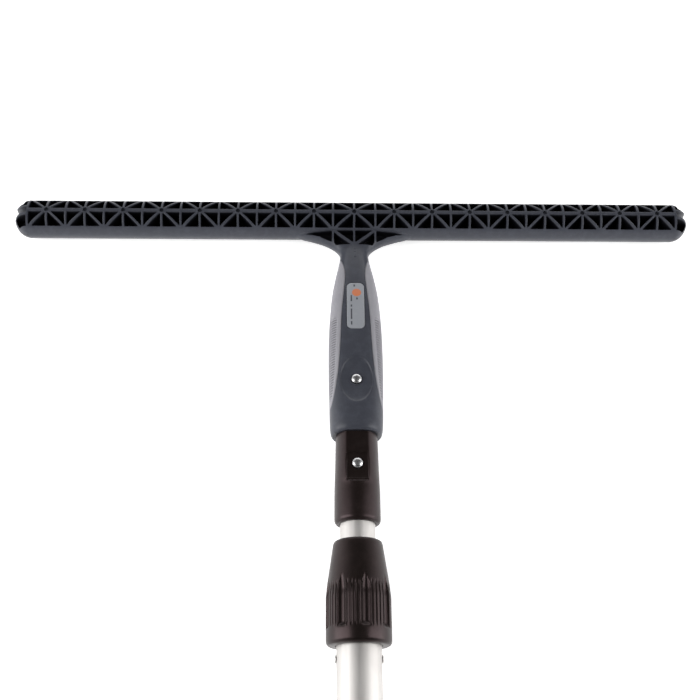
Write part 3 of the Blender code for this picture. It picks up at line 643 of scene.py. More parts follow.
def moulded(
    name, colour, worn, grain, roughness, depth, specular=0.5, groove="", shade_and_grime_depth_mm=(0.4, 1.8), cast="#FFFFFF"
):
    """Moulded plastic or rubber: a spark-eroded grain, faint flow marks, rub marks and fine scratches.

    Deep in pockets and grooves, by the groove_depth attribute, the colour turns to the darker groove colour:
    painted shade, with grime as well in the grips' grooves.
    """
    material, tree, shader = new_material(name)
    place = add_node(tree, "TexCoord").outputs["Object"]
    flow = add_node(tree, "TexNoise", {"Vector": place, "Scale": 60.0, "Detail": 3.0}).outputs[0]
    rub = add_node(tree, "TexNoise", {"Vector": place, "Scale": 210.0, "Detail": 5.0, "Roughness": 0.65})
    grains = add_node(tree, "TexNoise", {"Vector": place, "Scale": 1 / (grain * MM), "Detail": 2.0})
    drawn = {"Vector": place, "Rotation": (0.3, 0.2, 0.6), "Scale": (1.0, 9.0, 1.0)}
    drawn = add_node(tree, "Mapping", drawn)
    lines = add_node(tree, "TexNoise", {"Vector": drawn.outputs[0], "Scale": 260.0, "Detail": 4.0})
    scratch = {"Value": lines.outputs[0], "From Min": 0.64, "From Max": 0.76, "To Max": 0.18}
    scratch = add_node(tree, "MapRange", scratch).outputs[0]
    marks = {"Value": rub.outputs[0], "From Min": 0.45, "From Max": 0.75, "To Max": 0.5}
    marks = add_node(tree, "MapRange", marks).outputs[0]
    shade = add_node(tree, "Math", {0: marks, 1: scratch}, operation="MAXIMUM").outputs[0]
    tone = {"Factor": shade, 6: linear(colour), 7: linear(worn)}
    tone = add_node(tree, "Mix", tone, data_type="RGBA").outputs[2]
    # Painted shade: the groove colour darkens the deep parts of pockets and grooves, read from the
    # groove_depth attribute.
    if groove:
        low = add_node(tree, "Attribute", attribute_name="groove_depth").outputs["Fac"]
        low = add_node(tree, "MapRange", {"Value": low, "From Min": shade_and_grime_depth_mm[0], "From Max": shade_and_grime_depth_mm[1]})
        tone = {"Factor": low.outputs[0], 6: tone, 7: linear(groove)}
        tone = add_node(tree, "Mix", tone, data_type="RGBA").outputs[2]
    tree.links.new(tone, shader.inputs["Base Color"])
    gloss = {"Value": flow, "From Min": 0.3, "From Max": 0.7}
    gloss |= {"To Min": roughness - 0.05, "To Max": roughness + 0.06}
    gloss = add_node(tree, "MapRange", gloss).outputs[0]
    dull = add_node(tree, "Math", {0: gloss, 1: scratch}, operation="ADD", use_clamp=True)
    tree.links.new(dull.outputs[0], shader.inputs["Roughness"])
    low = add_node(tree, "Bump", {"Height": flow, "Strength": 0.25, "Distance": 0.1 * MM}).outputs[0]
    fine = {"Height": grains.outputs[0], "Strength": 0.6, "Distance": depth * MM, "Normal": low}
    fine = add_node(tree, "Bump", fine)
    tree.links.new(fine.outputs[0], shader.inputs["Normal"])
    shader.inputs["Specular IOR Level"].default_value = specular
    shader.inputs["Specular Tint"].default_value = linear(cast)
    return material


def coat(piece, material):
    """Gives a piece its one material."""
    piece.data.materials.clear()
    piece.data.materials.append(material)


# Glass-filled polypropylene, spark-eroded tool: satin, slightly blue dark grey, paler where it is rubbed.
# The real grain is under 0.1 mm, so it is drawn at 0.5 mm to show.
# The near black #0F0F14 deep in the pockets and the web is painted shade.
DARK_GREY = moulded(
    "moulded_dark_grey_polypropylene", "#40424A", "#4F525A", 0.5, 0.34, 0.03, 0.22, "#0F0F14"
)
coat(tbar, DARK_GREY)

# ----------------------------------------------
# Soft grips. Light grey thermoplastic rubber moulded into the two sides of the handle, smooth next to
# the core, with fine ridges across the outer part where the fingers hold.
# ----------------------------------------------
RIDGE_FIRST, RIDGE_LAST = 79.0, 137.5
RIDGE_PITCH = 1.7
RIDGE_DEPTH = 0.5
GRIP_FIRST, GRIP_LAST = 33.6, 143.0


def ridge_groove(x, station):
    """Depth of the grooves between the ridges, at a place on a grip."""
    edge, reach = through(GRIP_EDGE, station), half_width(station)
    wave = (0.5 - 0.5 * cos(2 * pi * (station - RIDGE_FIRST) / RIDGE_PITCH)) ** 1.6
    along = ease(RIDGE_FIRST, RIDGE_FIRST + 5, station) * (1 - ease(RIDGE_LAST - 3, RIDGE_LAST, station))
    return RIDGE_DEPTH * wave * along * ease(edge + 0.3 * (reach - edge), edge + 0.42 * (reach - edge), x)


def grip_ring(station, side):
    """A closed section of one grip: the ridged outside, then back along the core."""
    edge = through(GRIP_EDGE, station)
    reach = half_width(station)
    start = edge_turn(station, edge)
    inner = edge_turn(station, edge, GRIP_SKIN)
    outside = [on_section(station, start * (1 - 2 * i / 56)) for i in range(57)]
    lengths = [0.0]
    for a, b in zip(outside, outside[1:]):
        lengths.append(lengths[-1] + dist(a, b))
    ring = []
    for (x, z), length in zip(outside, lengths):
        near = min(length, lengths[-1] - length)
        drop = 0.35 * max(1 - near / 0.6, 0.0) ** 2
        drop += ridge_groove(x, station)
        away = Vector((x / reach**2, z / half_height(station) ** 2)).normalized()
        ring.append((side * (x - away.x * drop), z - away.y * drop))
    back = [on_section(station, -inner + 2 * inner * i / 20, GRIP_SKIN) for i in range(21)]
    return ring + [(side * x, z) for x, z in back]


# Thermoplastic rubber, finely textured tool: matt, pale neutral grey with a cool cast, hardly any gloss.
# The grooves between the ridges turn darker grey #4C4B50: grime, with painted shade.
LIGHT_GREY_RUBBER = moulded(
    "textured_light_grey_rubber", "#8F8E94", "#99989D", 0.45, 0.6, 0.04, 0.35, "#4C4B50", (0.12, 0.5)
)
for name, side in (("grip_left", -1), ("grip_right", 1)):
    shape = bmesh.new()
    places = [GRIP_FIRST + 0.12 * i for i in range(20)] + [36 + 0.8 * i for i in range(50)]
    places += [RIDGE_FIRST - 1 + RIDGE_PITCH / 8 * i for i in range(290)]
    places = [s for s in places if s < GRIP_LAST - 4] + [GRIP_LAST - 4 + 0.2 * i for i in range(21)]
    skin_rings(shape, [at_station(s, grip_ring(s, side), centre_height(s)) for s in places])
    grip = add_piece(f"soft_{name}", shape, 50)
    # The grooves' depth darkens them in the material: grime, with painted shade.
    note_depth(grip.data, lambda place: ridge_groove(abs(place.x), BAR_Y - place.y))
    coat(grip, LIGHT_GREY_RUBBER)
    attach(grip, "head")
    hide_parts(name)

# ----------------------------------------------
# Label. A light grey plastic plate snapped flush into its seat, with a plain printed sign: an orange
# disc, two small dark marks and a row of dark bars. The print says nothing.
# ----------------------------------------------


def top_height(x, station):
    """Height of the handle's upper face over the floor."""
    share = min(abs(x) / half_width(station), 1.0)
    up = (1 - share**SECTION_POWER) ** (1 / SECTION_POWER)
    return centre_height(station) + half_height(station) * up


def label_ring(station):
    middle, reach = (LABEL_START + LABEL_END) / 2, (LABEL_END - LABEL_START) / 2
    over = max(abs(station - middle) - (reach - LABEL_CORNER), 0.0)
    half = LABEL_HALF - LABEL_CORNER + sqrt(max(LABEL_CORNER**2 - over**2, 0.0))
    ring = []
    for i in range(33):
        x = half * sin(pi / 2 * (i / 16 - 1))
        rim = min(half - abs(x), reach - abs(station - middle))
        ring.append((x, BAR_Y - station, top_height(x, station) - 0.22 * max(1 - rim / 0.5, 0.0) ** 2))
    base = [(x, y, seat_floor + GAP) for x, y, _ in reversed(ring)]
    return ring + base


def printed(name, outlines, colour, worn, material_name):
    """Flat printed shapes, a few hundredths of a millimetre proud of the label."""
    shape = bmesh.new()
    for outline in outlines:
        middle = sum((Vector(p) for p in outline), Vector((0, 0))) / len(outline)
        rings = []
        for spread, level in ((1, -0.1), (1, 0.03), (0.75, 0.03), (0.5, 0.03), (0.25, 0.03), (0.03, 0.03)):
            ring = [middle + (Vector(p) - middle) * spread for p in outline]
            rings.append([(p.x, BAR_Y - p.y, top_height(p.x, p.y) + level) for p in ring])
        skin_rings(shape, rings)
    piece = add_piece(name, shape)
    coat(piece, moulded(material_name, colour, worn, 0.4, 0.4, 0.01))
    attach(piece, "head")


shape = bmesh.new()
ends = [LABEL_START + LABEL_CORNER * (1 - cos(pi / 2 * i / 14)) for i in range(1, 15)]
places = ends + [LABEL_START + LABEL_CORNER + i * 0.9 for i in range(1, 31)]
places += [LABEL_START + LABEL_END - s for s in reversed(ends)]
skin_rings(shape, [label_ring(s) for s in places])
label = add_piece("label", shape, 50)
# Polycarbonate film on a plate: smooth, satin, pale grey with a faint speckle.
coat(label, moulded("satin_grey_label_film", "#92959B", "#9A9DA2", 0.4, 0.36, 0.01))
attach(label, "head")
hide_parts("label_plate")

printed("label_orange_disc", [circle(40, 2.9, 0.7, 64.2)], "#C9764F", "#BC7F62", "orange_screen_print")
bars = [(-0.7, 58.7, 1.0, 1.7), (0.9, 68.9, 1.0, 1.5)]
bars += [(-2.7, 68.6, 0.9, 4.6), (-2.7, 74.2, 0.9, 1.6), (-2.7, 80.2, 0.9, 7.6), (-2.7, 86.8, 0.9, 2.4)]
marks = [
    [(x - w / 2, s - h / 2), (x + w / 2, s - h / 2), (x + w / 2, s + h / 2), (x - w / 2, s + h / 2)]
    for x, s, w, h in bars
]
printed("label_dark_marks", marks, "#45454C", "#58585E", "dark_screen_print")

# ----------------------------------------------
# Pole adapter. Black ABS moulding: a round tang that goes up the handle, an oval body with a flat and
# a shallow recess for the lower button, and a round collar that takes the inner tube.
# ----------------------------------------------
TANG_RADIUS, TANG_START, TANG_BORE = 10.0, 106.0, 8.0
ADAPTER_SHOULDER = HANDLE_END + GAP
COLLAR_START = 189.4
ADAPTER_END = 212.4
TIP_LENGTH, TIP_ROUND = 3.2, 2.0
FLAT_HEIGHT, FLAT_END = 12.0, 188.6
RECESS_START, RECESS_END, RECESS_DEPTH = 171.6, 187.6, 0.6
LOWER_BUTTON = 178.4
RECESS_RAMP = 0.25
INNER_RADIUS = 10.35
SOCKET_START = 161.7
ADAPTER_STEPS = 144
BODY_WIDTH = ((158.3, 12.7), (185.6, 13.3), (190.4, 13.5), (196.0, 13.6), (212.4, 13.6))
BODY_HEIGHT = ((158.3, 13.9), (185.6, 13.95), (190.4, 13.5), (196.0, 13.6), (212.4, 13.6))


def adapter_ring(station):
    """A section of the adapter's outside as (x, z) round the pole's axis."""
    if station < ADAPTER_SHOULDER:
        lead = 1.2 * max(1 - (station - TANG_START) / 1.2, 0.0)
        return circle(ADAPTER_STEPS, TANG_RADIUS - lead)
    width, height = through(BODY_WIDTH, station), through(BODY_HEIGHT, station)
    tip = max(station - (ADAPTER_END - TIP_LENGTH), 0.0) / TIP_LENGTH
    round_off = TIP_ROUND * (1 - sqrt(max(1 - tip**2.4, 0.0)))
    level = FLAT_HEIGHT + 2.4 * ease(FLAT_END, COLLAR_START + 1.2, station)
    recess = ease(RECESS_START, RECESS_START + RECESS_RAMP, station)
    recess *= 1 - ease(RECESS_END - RECESS_RAMP, RECESS_END, station)
    soft = 0.3
    ring = []
    for c, s in circle(ADAPTER_STEPS, 1):
        x, z = (width - round_off) * c, (height - round_off) * s
        face = level - RECESS_DEPTH * recess * (1 - ease(6.3, 6.7, abs(x)))
        h = min(max(0.5 + 0.5 * (z - face) / soft, 0.0), 1.0)
        ring.append((x, z + (face - z) * h - soft * h * (1 - h)))
    return ring


shape = bmesh.new()
places = [TANG_START, TANG_START + 0.6, TANG_START + 1.2, ADAPTER_SHOULDER - 0.01, ADAPTER_SHOULDER]
places += [ADAPTER_SHOULDER + 0.9 * i for i in range(1, 15)]
places += [171.5 + 0.1 * i for i in range(6)] + [172.8 + 0.9 * i for i in range(16)]
places += [187.3 + 0.1 * i for i in range(6)]
places += [188.4 + 0.25 * i for i in range(12)] + [192 + 1.6 * i for i in range(11)]
places += [ADAPTER_END - TIP_LENGTH * (1 - i / 14) ** 1.5 for i in range(15)]
rings = [at_station(s, adapter_ring(s)) for s in sorted(set(places))]
for station, radius in (
    (ADAPTER_END, INNER_RADIUS + 0.5), (ADAPTER_END - 0.3, INNER_RADIUS + 0.2),
    (SOCKET_START, INNER_RADIUS + 0.2), (SOCKET_START, TANG_BORE), (TANG_START + 2.5, TANG_BORE),
):
    rings.append(at_station(station, circle(ADAPTER_STEPS, radius)))
skin_rings(shape, rings)
adapter = add_piece("adapter_moulding", shape)
holes = bmesh.new()
for station in (DISH_STATION, LOWER_BUTTON):
    button_hole(holes, station)
carve(adapter, "DIFFERENCE", holes, "button_holes")
# ABS from a lightly etched tool: near black with a warm cast, satin, grey rub marks from being handled.
BLACK_ABS = moulded("etched_black_abs", "#16110F", "#26201E", 0.5, 0.34, 0.02, 0.42, cast="#EACDD2")
coat(adapter, BLACK_ABS)
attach(adapter, "head")
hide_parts("pole_adapter")

# ----------------------------------------------
# Snap buttons. Two deep-drawn steel domes, polished, each pushed up through its hole by a bent leaf
# of spring steel inside the tang and the inner tube. The upper one holds the handle on the adapter.
# ----------------------------------------------
BUTTON_RADIUS, BUTTON_PROUD, DOME_RISE = 3.1, 2.2, 1.35
FLANGE_RADIUS = 3.9
UPPER_FLANGE, LOWER_FLANGE = 6.7, 8.2


def soften(outline, radius):
    """Rounds the corners of a closed (radius, station) outline, except where it meets the axis."""
    made = []
    count = len(outline)
    for i in range(count):
        before, here, after = (Vector(outline[(i + k) % count]) for k in (-1, 0, 1))
        if here.x == 0 or radius == 0:
            made.append(here)
            continue
        a, b = before - here, after - here
        reach = min(radius, 0.45 * a.length, 0.45 * b.length)
        a, b = a.normalized() * reach, b.normalized() * reach
        made += [arc(here + a, here, here + b, t) for t in (0, 0.3, 0.7, 1)]
    return made


def turned(outline, radius=0.3, steps=96, axis="Y", place=(0, 0, 0)):
    """A bmesh turned from a closed (radius, station) outline, about the pole's axis or a given one."""
    shape = bmesh.new()
    rings = []
    for r, s in soften(outline, radius):
        section = circle(steps, r)
        if axis == "Y":
            rings.append(at_station(s, section))
        elif axis == "Z":
            rings.append([(place[0] + u, place[1] + v, place[2] + s) for u, v in section])
        else:
            rings.append([(place[0] + s, place[1] + u, place[2] + v) for u, v in section])
    skin_rings(shape, rings, hollow=True)
    bmesh.ops.remove_doubles(shape, verts=shape.verts, dist=1e-5)
    bmesh.ops.dissolve_degenerate(shape, dist=1e-6, edges=shape.edges)
    return shape


def drawn_metal(name, colour, tarnish, roughness, stretch, depth, metallic=1.0):
    """Drawn or turned metal: fine lines along one direction, with cloudy handling marks."""
    material, tree, shader = new_material(name)
    place = add_node(tree, "TexCoord").outputs["Object"]
    along = add_node(tree, "Mapping", {"Vector": place, "Scale": stretch}).outputs[0]
    lines = {"Vector": along, "Scale": 900.0, "Detail": 4.0, "Roughness": 0.6}
    lines = add_node(tree, "TexNoise", lines).outputs[0]
    cloud = add_node(tree, "TexNoise", {"Vector": place, "Scale": 70.0, "Detail": 4.0}).outputs[0]
    stain = add_node(tree, "MapRange", {"Value": cloud, "From Min": 0.45, "From Max": 0.8, "To Max": 0.5})
    tone = {"Factor": stain.outputs[0], 6: linear(colour), 7: linear(tarnish)}
    tone = add_node(tree, "Mix", tone, data_type="RGBA")
    tree.links.new(tone.outputs[2], shader.inputs["Base Color"])
    gloss = {"Value": lines, "From Min": 0.3, "From Max": 0.7}
    gloss |= {"To Min": roughness - 0.07, "To Max": roughness + 0.08}
    tree.links.new(add_node(tree, "MapRange", gloss).outputs[0], shader.inputs["Roughness"])
    bump = add_node(tree, "Bump", {"Height": lines, "Strength": 0.35, "Distance": depth * MM})
    tree.links.new(bump.outputs[0], shader.inputs["Normal"])
    shader.inputs["Metallic"].default_value = metallic
    return material


# Nickel-plated steel, tumbled to a polish: bright and nearly mirror smooth.
POLISHED_STEEL = drawn_metal("polished_nickel_plated_steel", "#D2D2D3", "#B4B4B6", 0.3, (1, 1, 1), 0.003)
dish_floor = half_height(DISH_STATION) - DISH_DEPTH
for place, station, flange_top, dome_top in (
    ("upper", DISH_STATION, UPPER_FLANGE, dish_floor + BUTTON_PROUD),
    ("lower", LOWER_BUTTON, LOWER_FLANGE, FLAT_HEIGHT - RECESS_DEPTH + BUTTON_PROUD),
):
    outline = [(0.0, dome_top)]
    for degrees in range(6, 91, 7):
        a = radians(degrees)
        outline.append((BUTTON_RADIUS * sin(a), dome_top - DOME_RISE * (1 - cos(a))))
    outline += [(BUTTON_RADIUS, flange_top), (FLANGE_RADIUS, flange_top)]
    outline += [(FLANGE_RADIUS, flange_top - 1), (0.0, flange_top - 1)]
    shape = turned(outline, 0.08, 64, "Z", (0, BAR_Y - station, POLE_Z))
    button = add_piece(f"button_{place}", shape, 50)
    coat(button, POLISHED_STEEL)
    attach(button, f"{place}_button")
    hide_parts(f"snap_button_{place}")

# Rolled spring steel: darker, with fine rolling lines along the strip.
SPRING_STEEL = drawn_metal("rolled_spring_steel", "#8D8D92", "#6F6D6C", 0.34, (8, 1, 8), 0.01)
LEAF = 0.6
LEAF_HALF_WIDTH = 3.5
LEAF_BEND = 22.8
BEND_RADIUS = 1.4
LEAF_FLAT = 4


def bowed(start, stop):
    """The bowed run of a strip between an arm and the bend."""
    steps = [i / 10 for i in range(1, 10)]
    return [tuple(Vector(start).lerp(Vector(stop), ease(0, 1, t) * 0.3 + t * 0.7)) for t in steps]


def leaf_spring(name, station, flange_top, wall_radius):
    """A strip bent into a long U: one arm under the button, the other along the far wall."""
    top = flange_top - 1 - GAP - LEAF / 2
    low = GAP + LEAF / 2 - sqrt(wall_radius**2 - LEAF_HALF_WIDTH**2)
    middle, curve = (top + low) / 2, station + LEAF_BEND
    turn = [pi / 2 * (1 - i / 8) for i in range(17)]
    path = [(station - LEAF_FLAT, top), (station, top), (station + LEAF_FLAT, top)]
    path += bowed((station + LEAF_FLAT, top), (curve, middle + BEND_RADIUS))
    path += [(curve + BEND_RADIUS * cos(a), middle + BEND_RADIUS * sin(a)) for a in turn]
    path += bowed((curve, middle - BEND_RADIUS), (station + LEAF_FLAT, low))
    path += [(station + LEAF_FLAT, low), (station, low), (station - LEAF_FLAT, low)]
    shape = bmesh.new()
    rings = []
    for i, (s, z) in enumerate(path):
        run = Vector(path[min(i + 1, len(path) - 1)]) - Vector(path[max(i - 1, 0)])
        side = Vector((-run.y, run.x)).normalized() * LEAF / 2
        left = ((-1, -1, 0.1), (-1, -0.6, 0), (-1, 0.6, 0), (-1, 1, 0.1))
        section = left[1:] + tuple((1, t, inset) for _, t, inset in left[::-1]) + left[:1]
        spots = [(edge * (LEAF_HALF_WIDTH - inset), Vector((s, z)) + side * t) for edge, t, inset in section]
        rings.append([(x, BAR_Y - p.x, POLE_Z + p.y) for x, p in spots])
    skin_rings(shape, rings)
    spring = add_piece(f"leaf_{name}", shape)
    coat(spring, SPRING_STEEL)
    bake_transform(spring)
    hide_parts(name)


leaf_spring("snap_spring_upper", DISH_STATION, UPPER_FLANGE, TANG_BORE)
leaf_spring("snap_spring_lower", LOWER_BUTTON, LOWER_FLANGE, INNER_RADIUS - 1)

# ----------------------------------------------
# Inner tube and guide bush. Drawn, clear-anodised aluminium tube pressed into the adapter's collar, and
# a black plastic bush in its low end that runs inside the outer tube.
# ----------------------------------------------
TUBE_WALL = 1.0
INNER_START, INNER_END = 162.0, 700.0
OUTER_RADIUS = 12.7


def tube(radius, start, end):
    bore = radius - TUBE_WALL
    return turned([(radius, start), (radius, end), (bore, end), (bore, start)], 0.2)


# Drawn aluminium, clear anodised: bright and slightly warm, with die lines along the tube. The real
# lines are a few hundredths of a millimetre wide, so they are drawn at about 1 mm to show.
DRAWN_ALUMINIUM = drawn_metal(
    "drawn_anodised_aluminium", "#CDCAC7", "#BFBBB8", 0.52, (1, 0.02, 1), 0.003, 0.7
)
inner_tube = add_piece("inner_tube_drawn", tube(INNER_RADIUS, INNER_START, INNER_END))
tube_hole = bmesh.new()
button_hole(tube_hole, LOWER_BUTTON)
carve(inner_tube, "DIFFERENCE", tube_hole, "tube_button_hole")
coat(inner_tube, DRAWN_ALUMINIUM)
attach(inner_tube, "head")
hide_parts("inner_tube")

coat(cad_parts["guide_bush"], BLACK_ABS)

# ----------------------------------------------
# Twist nut. Black glass-filled nylon: a plain cone that widens to a fluted and ribbed hand-hold and a
# smooth skirt. Its thrust ring squeezes the collet; a rubber wiper keeps grit off the inner tube.
# ----------------------------------------------
NUT_START, NUT_END = 222.6, 281.0
NUT_RADIUS = 18.5
COLLET_CONE_END = 246.0
FLUTES = 8
FLUTE_TURN = radians(11.5)
FLUTE_FIRST, FLUTE_LAST = 243.8, 273.0
NUT_PROFILE = (
    (0.0, 12.9), (0.15, 13.35), (0.5, 13.85), (1.2, 14.25),
    (2.2, 14.5), (23.8, 17.65), (32.0, 18.5), (56.0, 18.5),
    (57.2, 18.2), (58.0, 17.6), (58.4, 16.9),
)


def nut_radius(station):
    """Outside radius of the nut without its flutes."""
    place = station - NUT_START
    for (x0, y0), (x1, y1) in zip(NUT_PROFILE, NUT_PROFILE[1:]):
        if place <= x1:
            return y0 + (y1 - y0) * (place - x0) / (x1 - x0)
    return NUT_PROFILE[-1][1]


def flute_depth(station, turn):
    """How far the flutes and the finer ribs between them cut in, at an angle from straight up."""
    sector = 2 * pi / FLUTES
    away = (turn - FLUTE_TURN + sector / 2) % sector - sector / 2
    across = abs(away) * nut_radius(station)
    grow = ease(FLUTE_FIRST - 1, FLUTE_FIRST + 9, station)
    end = 1 - ease(FLUTE_LAST - 3, FLUTE_LAST, station)
    half = 0.6 + 2.1 * grow
    share = max(1 - (across / half) ** 2, 0.0)
    depth = 2.1 * grow * end * share**0.6
    ribs = ease(FLUTE_FIRST + 2.5, FLUTE_FIRST + 6, station) * end
    inside = 1 - ease(0.3, 0.8, half + 0.8 - across)
    place = (across - 3.6) / 2.4
    groove = max(1 - (abs(place - round(place)) / 0.22) ** 2, 0.0)
    return max(depth, 0.45 * ribs * inside * groove)


shape = bmesh.new()
nut_turns = [2 * pi * i / 480 for i in range(480)]
places = [NUT_START + p for p, _ in NUT_PROFILE[:5]] + [NUT_START + 2.2 + 1.5 * i for i in range(1, 13)]
places += [FLUTE_FIRST - 1 + 0.6 * i for i in range(22)] + [257 + 1.2 * i for i in range(10)]
places += [FLUTE_LAST - 4 + 0.4 * i for i in range(12)] + [NUT_START + p for p, _ in NUT_PROFILE[7:]]
rings = []
for station in sorted(set(places)):
    spots = [(a, nut_radius(station) - flute_depth(station, a)) for a in nut_turns]
    rings.append(at_station(station, [(radius * sin(a), radius * cos(a)) for a, radius in spots]))
for radius, station in (
    (13.2, NUT_END), (13.2, 261.9), (12.9, 261.9), (12.9, COLLET_CONE_END),
    (13.4, COLLET_CONE_END - 2), (13.4, NUT_START + 2.4), (INNER_RADIUS + 0.5, NUT_START + 2.4),
    (INNER_RADIUS + 0.5, NUT_START + 0.2), (INNER_RADIUS + 0.7, NUT_START),
):
    rings.append(at_station(station, [(radius * sin(a), radius * cos(a)) for a in nut_turns]))
skin_rings(shape, rings, hollow=True)
nut = add_piece("twist_nut_moulding", shape)
# Glass-filled nylon: near black, a little glossier than the adapter, with fine swirls from the fibres.
BLACK_NYLON = moulded("moulded_black_nylon", "#14100E", "#241E1C", 0.6, 0.34, 0.02, 0.4, cast="#EACDD0")
coat(nut, BLACK_NYLON)
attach(nut, "twist_nut")
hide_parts("lock_nut")

# Soft black nitrile rubber: matt.
BLACK_RUBBER = moulded("moulded_black_rubber", "#131314", "#1F1F21", 0.5, 0.65, 0.03, 0.3)
coat(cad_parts["wiper_seal"], BLACK_RUBBER)
# Unfilled nylon: waxy off-white.
NATURAL_NYLON = moulded("turned_natural_nylon", "#D8D2BF", "#C9C2AE", 0.4, 0.42, 0.01)
for name in ("thrust_ring", "collet"):
    coat(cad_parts[name], NATURAL_NYLON)

# ----------------------------------------------
# Outer tube. The same drawn aluminium, one size up, with the collet fixed in its mouth by two domed
# aluminium rivets.
# ----------------------------------------------
OUTER_START, OUTER_END = 264.5, 838.0
RIVET_STATION, RIVET_RADIUS = 288.0, 1.6
outer_tube = add_piece("outer_tube_drawn", tube(OUTER_RADIUS, OUTER_START, OUTER_END))
rivet_holes = bmesh.new()
for side in (1, -1):
    ring = circle(48, RIVET_RADIUS + GAP, RIVET_STATION)
    skin_rings(rivet_holes, [[(side * x, BAR_Y - s, POLE_Z + z) for s, z in ring] for x in (9.5, 15)])
carve(outer_tube, "DIFFERENCE", rivet_holes, "rivet_holes")
coat(outer_tube, DRAWN_ALUMINIUM)
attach(outer_tube, "pole")
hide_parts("outer_tube")

# Soft aluminium rivets, set cold: slightly duller than the tube.
RIVET_ALUMINIUM = drawn_metal("set_rivet_aluminium", "#BDBBB9", "#A3A09E", 0.38, (1, 1, 1), 0.01)
for name, side in (("collet_rivet_left", -1), ("collet_rivet_right", 1)):
    head = OUTER_RADIUS + 0.2
    outline = [(0.0, 10.85), (RIVET_RADIUS, 10.85), (RIVET_RADIUS, head), (RIVET_RADIUS + 0.9, head)]
    for degrees in (20, 40, 60, 75):
        a = radians(degrees)
        outline.append((2.5 * cos(a), head + 0.8 * sin(a)))
    outline.append((0.0, head + 0.8))
    outline = [(r, side * s) for r, s in outline]
    shape = turned(outline, 0.06, 40, "X", (0, BAR_Y - RIVET_STATION, POLE_Z))
    rivet = add_piece(f"set_{name}", shape, 50)
    coat(rivet, RIVET_ALUMINIUM)
    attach(rivet, "pole")
    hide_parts(name)

# ----------------------------------------------
# Hand grip. A grooved black rubber sleeve with a flared palm stop, a light grey ring in front of it,
# and a black plastic cap plugged into the tube's end.
# ----------------------------------------------
HAND_GRIP_START, HAND_GRIP_RADIUS = 690.0, 15.6
CAP_START, CAP_RADIUS = 838.3, 14.2
POLE_END = BAR_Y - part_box("end_cap")[0].y / MM
seat_radius = OUTER_RADIUS + GAP
ring_end = HAND_GRIP_START - GAP

outline = [
    (seat_radius, ring_end - 7), (14.2, ring_end - 7), (15.4, ring_end - 5), (15.4, ring_end),
    (seat_radius, ring_end),
]
collar = add_piece("grip_front_ring", turned(outline, 0.4))
# ABS in the handle's light grey.
coat(collar, moulded("moulded_light_grey_abs", "#8A8A91", "#96969C", 0.5, 0.42, 0.02))
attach(collar, "pole")
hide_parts("grip_ring")

outline = [(seat_radius, HAND_GRIP_START), (HAND_GRIP_RADIUS, HAND_GRIP_START)]
for i in range(5):
    s = HAND_GRIP_START + 16 + 18 * i
    low = HAND_GRIP_RADIUS - 0.9
    outline += [(HAND_GRIP_RADIUS, s), (low, s + 1), (low, s + 3), (HAND_GRIP_RADIUS, s + 4)]
end = OUTER_END - 8
outline += [
    (HAND_GRIP_RADIUS, end - 20), (NUT_RADIUS - 0.8, end - 9), (NUT_RADIUS, end - 6),
    (NUT_RADIUS, end - 2), (NUT_RADIUS - 1.5, end), (seat_radius, end),
]
sleeve = add_piece("hand_grip_sleeve", turned(outline, 0.7))
coat(sleeve, BLACK_RUBBER)
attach(sleeve, "pole")
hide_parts("hand_grip")

spigot = OUTER_RADIUS - TUBE_WALL - GAP
outline = [
    (0.0, CAP_START - 20), (spigot - 0.8, CAP_START - 20), (spigot, CAP_START - 18),
    (spigot, CAP_START), (CAP_RADIUS, CAP_START), (CAP_RADIUS, POLE_END - 2),
    (CAP_RADIUS - 2, POLE_END), (0.0, POLE_END),
]
cap = add_piece("end_cap_moulding", turned(outline, 0.5))
coat(cap, BLACK_ABS)
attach(cap, "pole")
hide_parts("end_cap")

# ----------------------------------------------
# Studio. A pale, slightly glowing table, soft light from all round that is darker overhead, a long
# softbox on each side of the pole and a wide one beyond the bar.
# ----------------------------------------------
shape = bmesh.new()
bmesh.ops.create_grid(shape, x_segments=8, y_segments=8, size=6000)
floor = add_piece("table", shape)
material, tree, shader = new_material("matt_white_table")
place = add_node(tree, "TexCoord").outputs["Object"]
fibre = add_node(tree, "TexNoise", {"Vector": place, "Scale": 400.0, "Detail": 3.0})
tone = {"Factor": fibre.outputs[0], 6: linear("#F4F4F3"), 7: linear("#FAFAFA")}
tone = add_node(tree, "Mix", tone, data_type="RGBA")
tree.links.new(tone.outputs[2], shader.inputs["Base Color"])
shader.inputs["Roughness"].default_value = 0.8
shader.inputs["Emission Color"].default_value = (1, 1, 1, 1)
shader.inputs["Emission Strength"].default_value = 0.7
coat(floor, material)

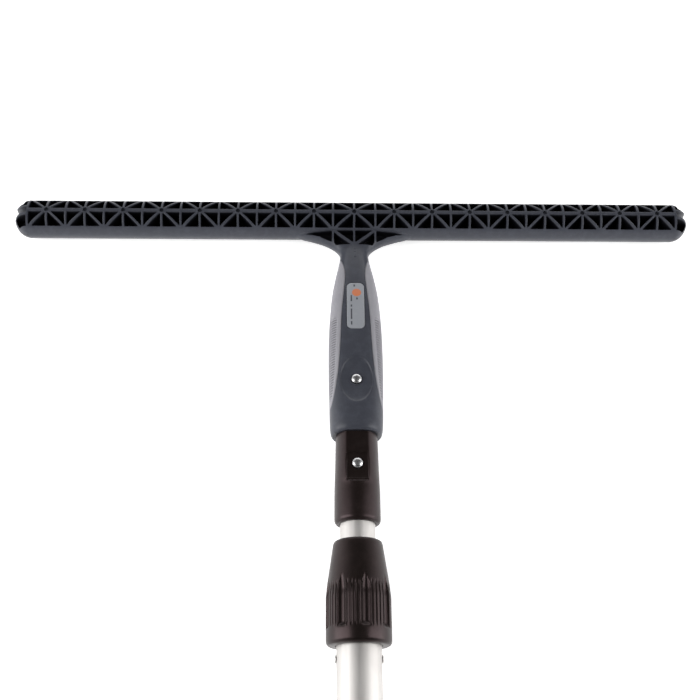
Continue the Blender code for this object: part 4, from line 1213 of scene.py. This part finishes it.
world = bpy.data.worlds.new("soft_tent")
bpy.context.scene.world = world
world.use_nodes = True
sky = world.node_tree
way = add_node(sky, "TexCoord").outputs["Generated"]
height = add_node(sky, "SeparateXYZ", {0: way})
fade = {"Value": height.outputs[2], "From Min": 0.12, "From Max": 0.62, "To Min": 1.35, "To Max": 0.07}
fade = add_node(sky, "MapRange", fade).outputs[0]
near = {"Value": height.outputs[1], "From Min": -1.0, "From Max": 0.3, "To Min": 0.35, "To Max": 1.0}
near = add_node(sky, "MapRange", near).outputs[0]
glow = add_node(sky, "Math", {0: fade, 1: near}, operation="MULTIPLY")
sky.links.new(glow.outputs[0], sky.nodes["Background"].inputs["Strength"])
sky.nodes["Background"].inputs["Color"].default_value = (1, 1, 1, 1)


def softbox(name, place, aim, width, length, power):
    light = bpy.data.lights.new(name, "AREA")
    light.shape = "RECTANGLE"
    light.size, light.size_y = width, length
    light.energy = power
    lamp = bpy.data.objects.new(name, light)
    bpy.context.scene.collection.objects.link(lamp)
    lamp.location = place
    lamp.rotation_euler = (Vector(aim) - Vector(place)).to_track_quat("-Z", "Y").to_euler()


softbox("softbox_left", (-1.2, 0.1, 0.6), (0, 0.25, 0), 0.7, 1.6, 18)
softbox("softbox_right", (1.2, 0.1, 0.6), (0, 0.25, 0), 0.7, 1.6, 14.5)
softbox("softbox_back", (0, 1.7, 0.5), (0, 0.35, 0), 1.8, 0.5, 4)

LENS = 50.41
ELEVATION, AZIMUTH, ROLL = (radians(a) for a in (64.695, -3.642, 3.484))
CAMERA_DISTANCE = 626.7
AIM = Vector((-3.317, BAR_Y - 96.79, BAR_Z))
back = Vector((sin(AZIMUTH) * cos(ELEVATION), -cos(AZIMUTH) * cos(ELEVATION), sin(ELEVATION)))
right = (-back).cross(Vector((0, 0, 1))).normalized()
up = right.cross(-back)
right, up = right * cos(ROLL) + up * sin(ROLL), up * cos(ROLL) - right * sin(ROLL)
lens = bpy.data.cameras.new("camera")
lens.sensor_width = 36
lens.lens = LENS
lens.clip_start, lens.clip_end = 0.01, 20
camera = bpy.data.objects.new("camera", lens)
bpy.context.scene.collection.objects.link(camera)
spot = (AIM + back * CAMERA_DISTANCE) * MM
camera.matrix_world = Matrix([(right[i], up[i], back[i], spot[i]) for i in range(3)] + [(0, 0, 0, 1)])
bpy.context.scene.camera = camera
bpy.context.scene.view_settings.view_transform = "Standard"
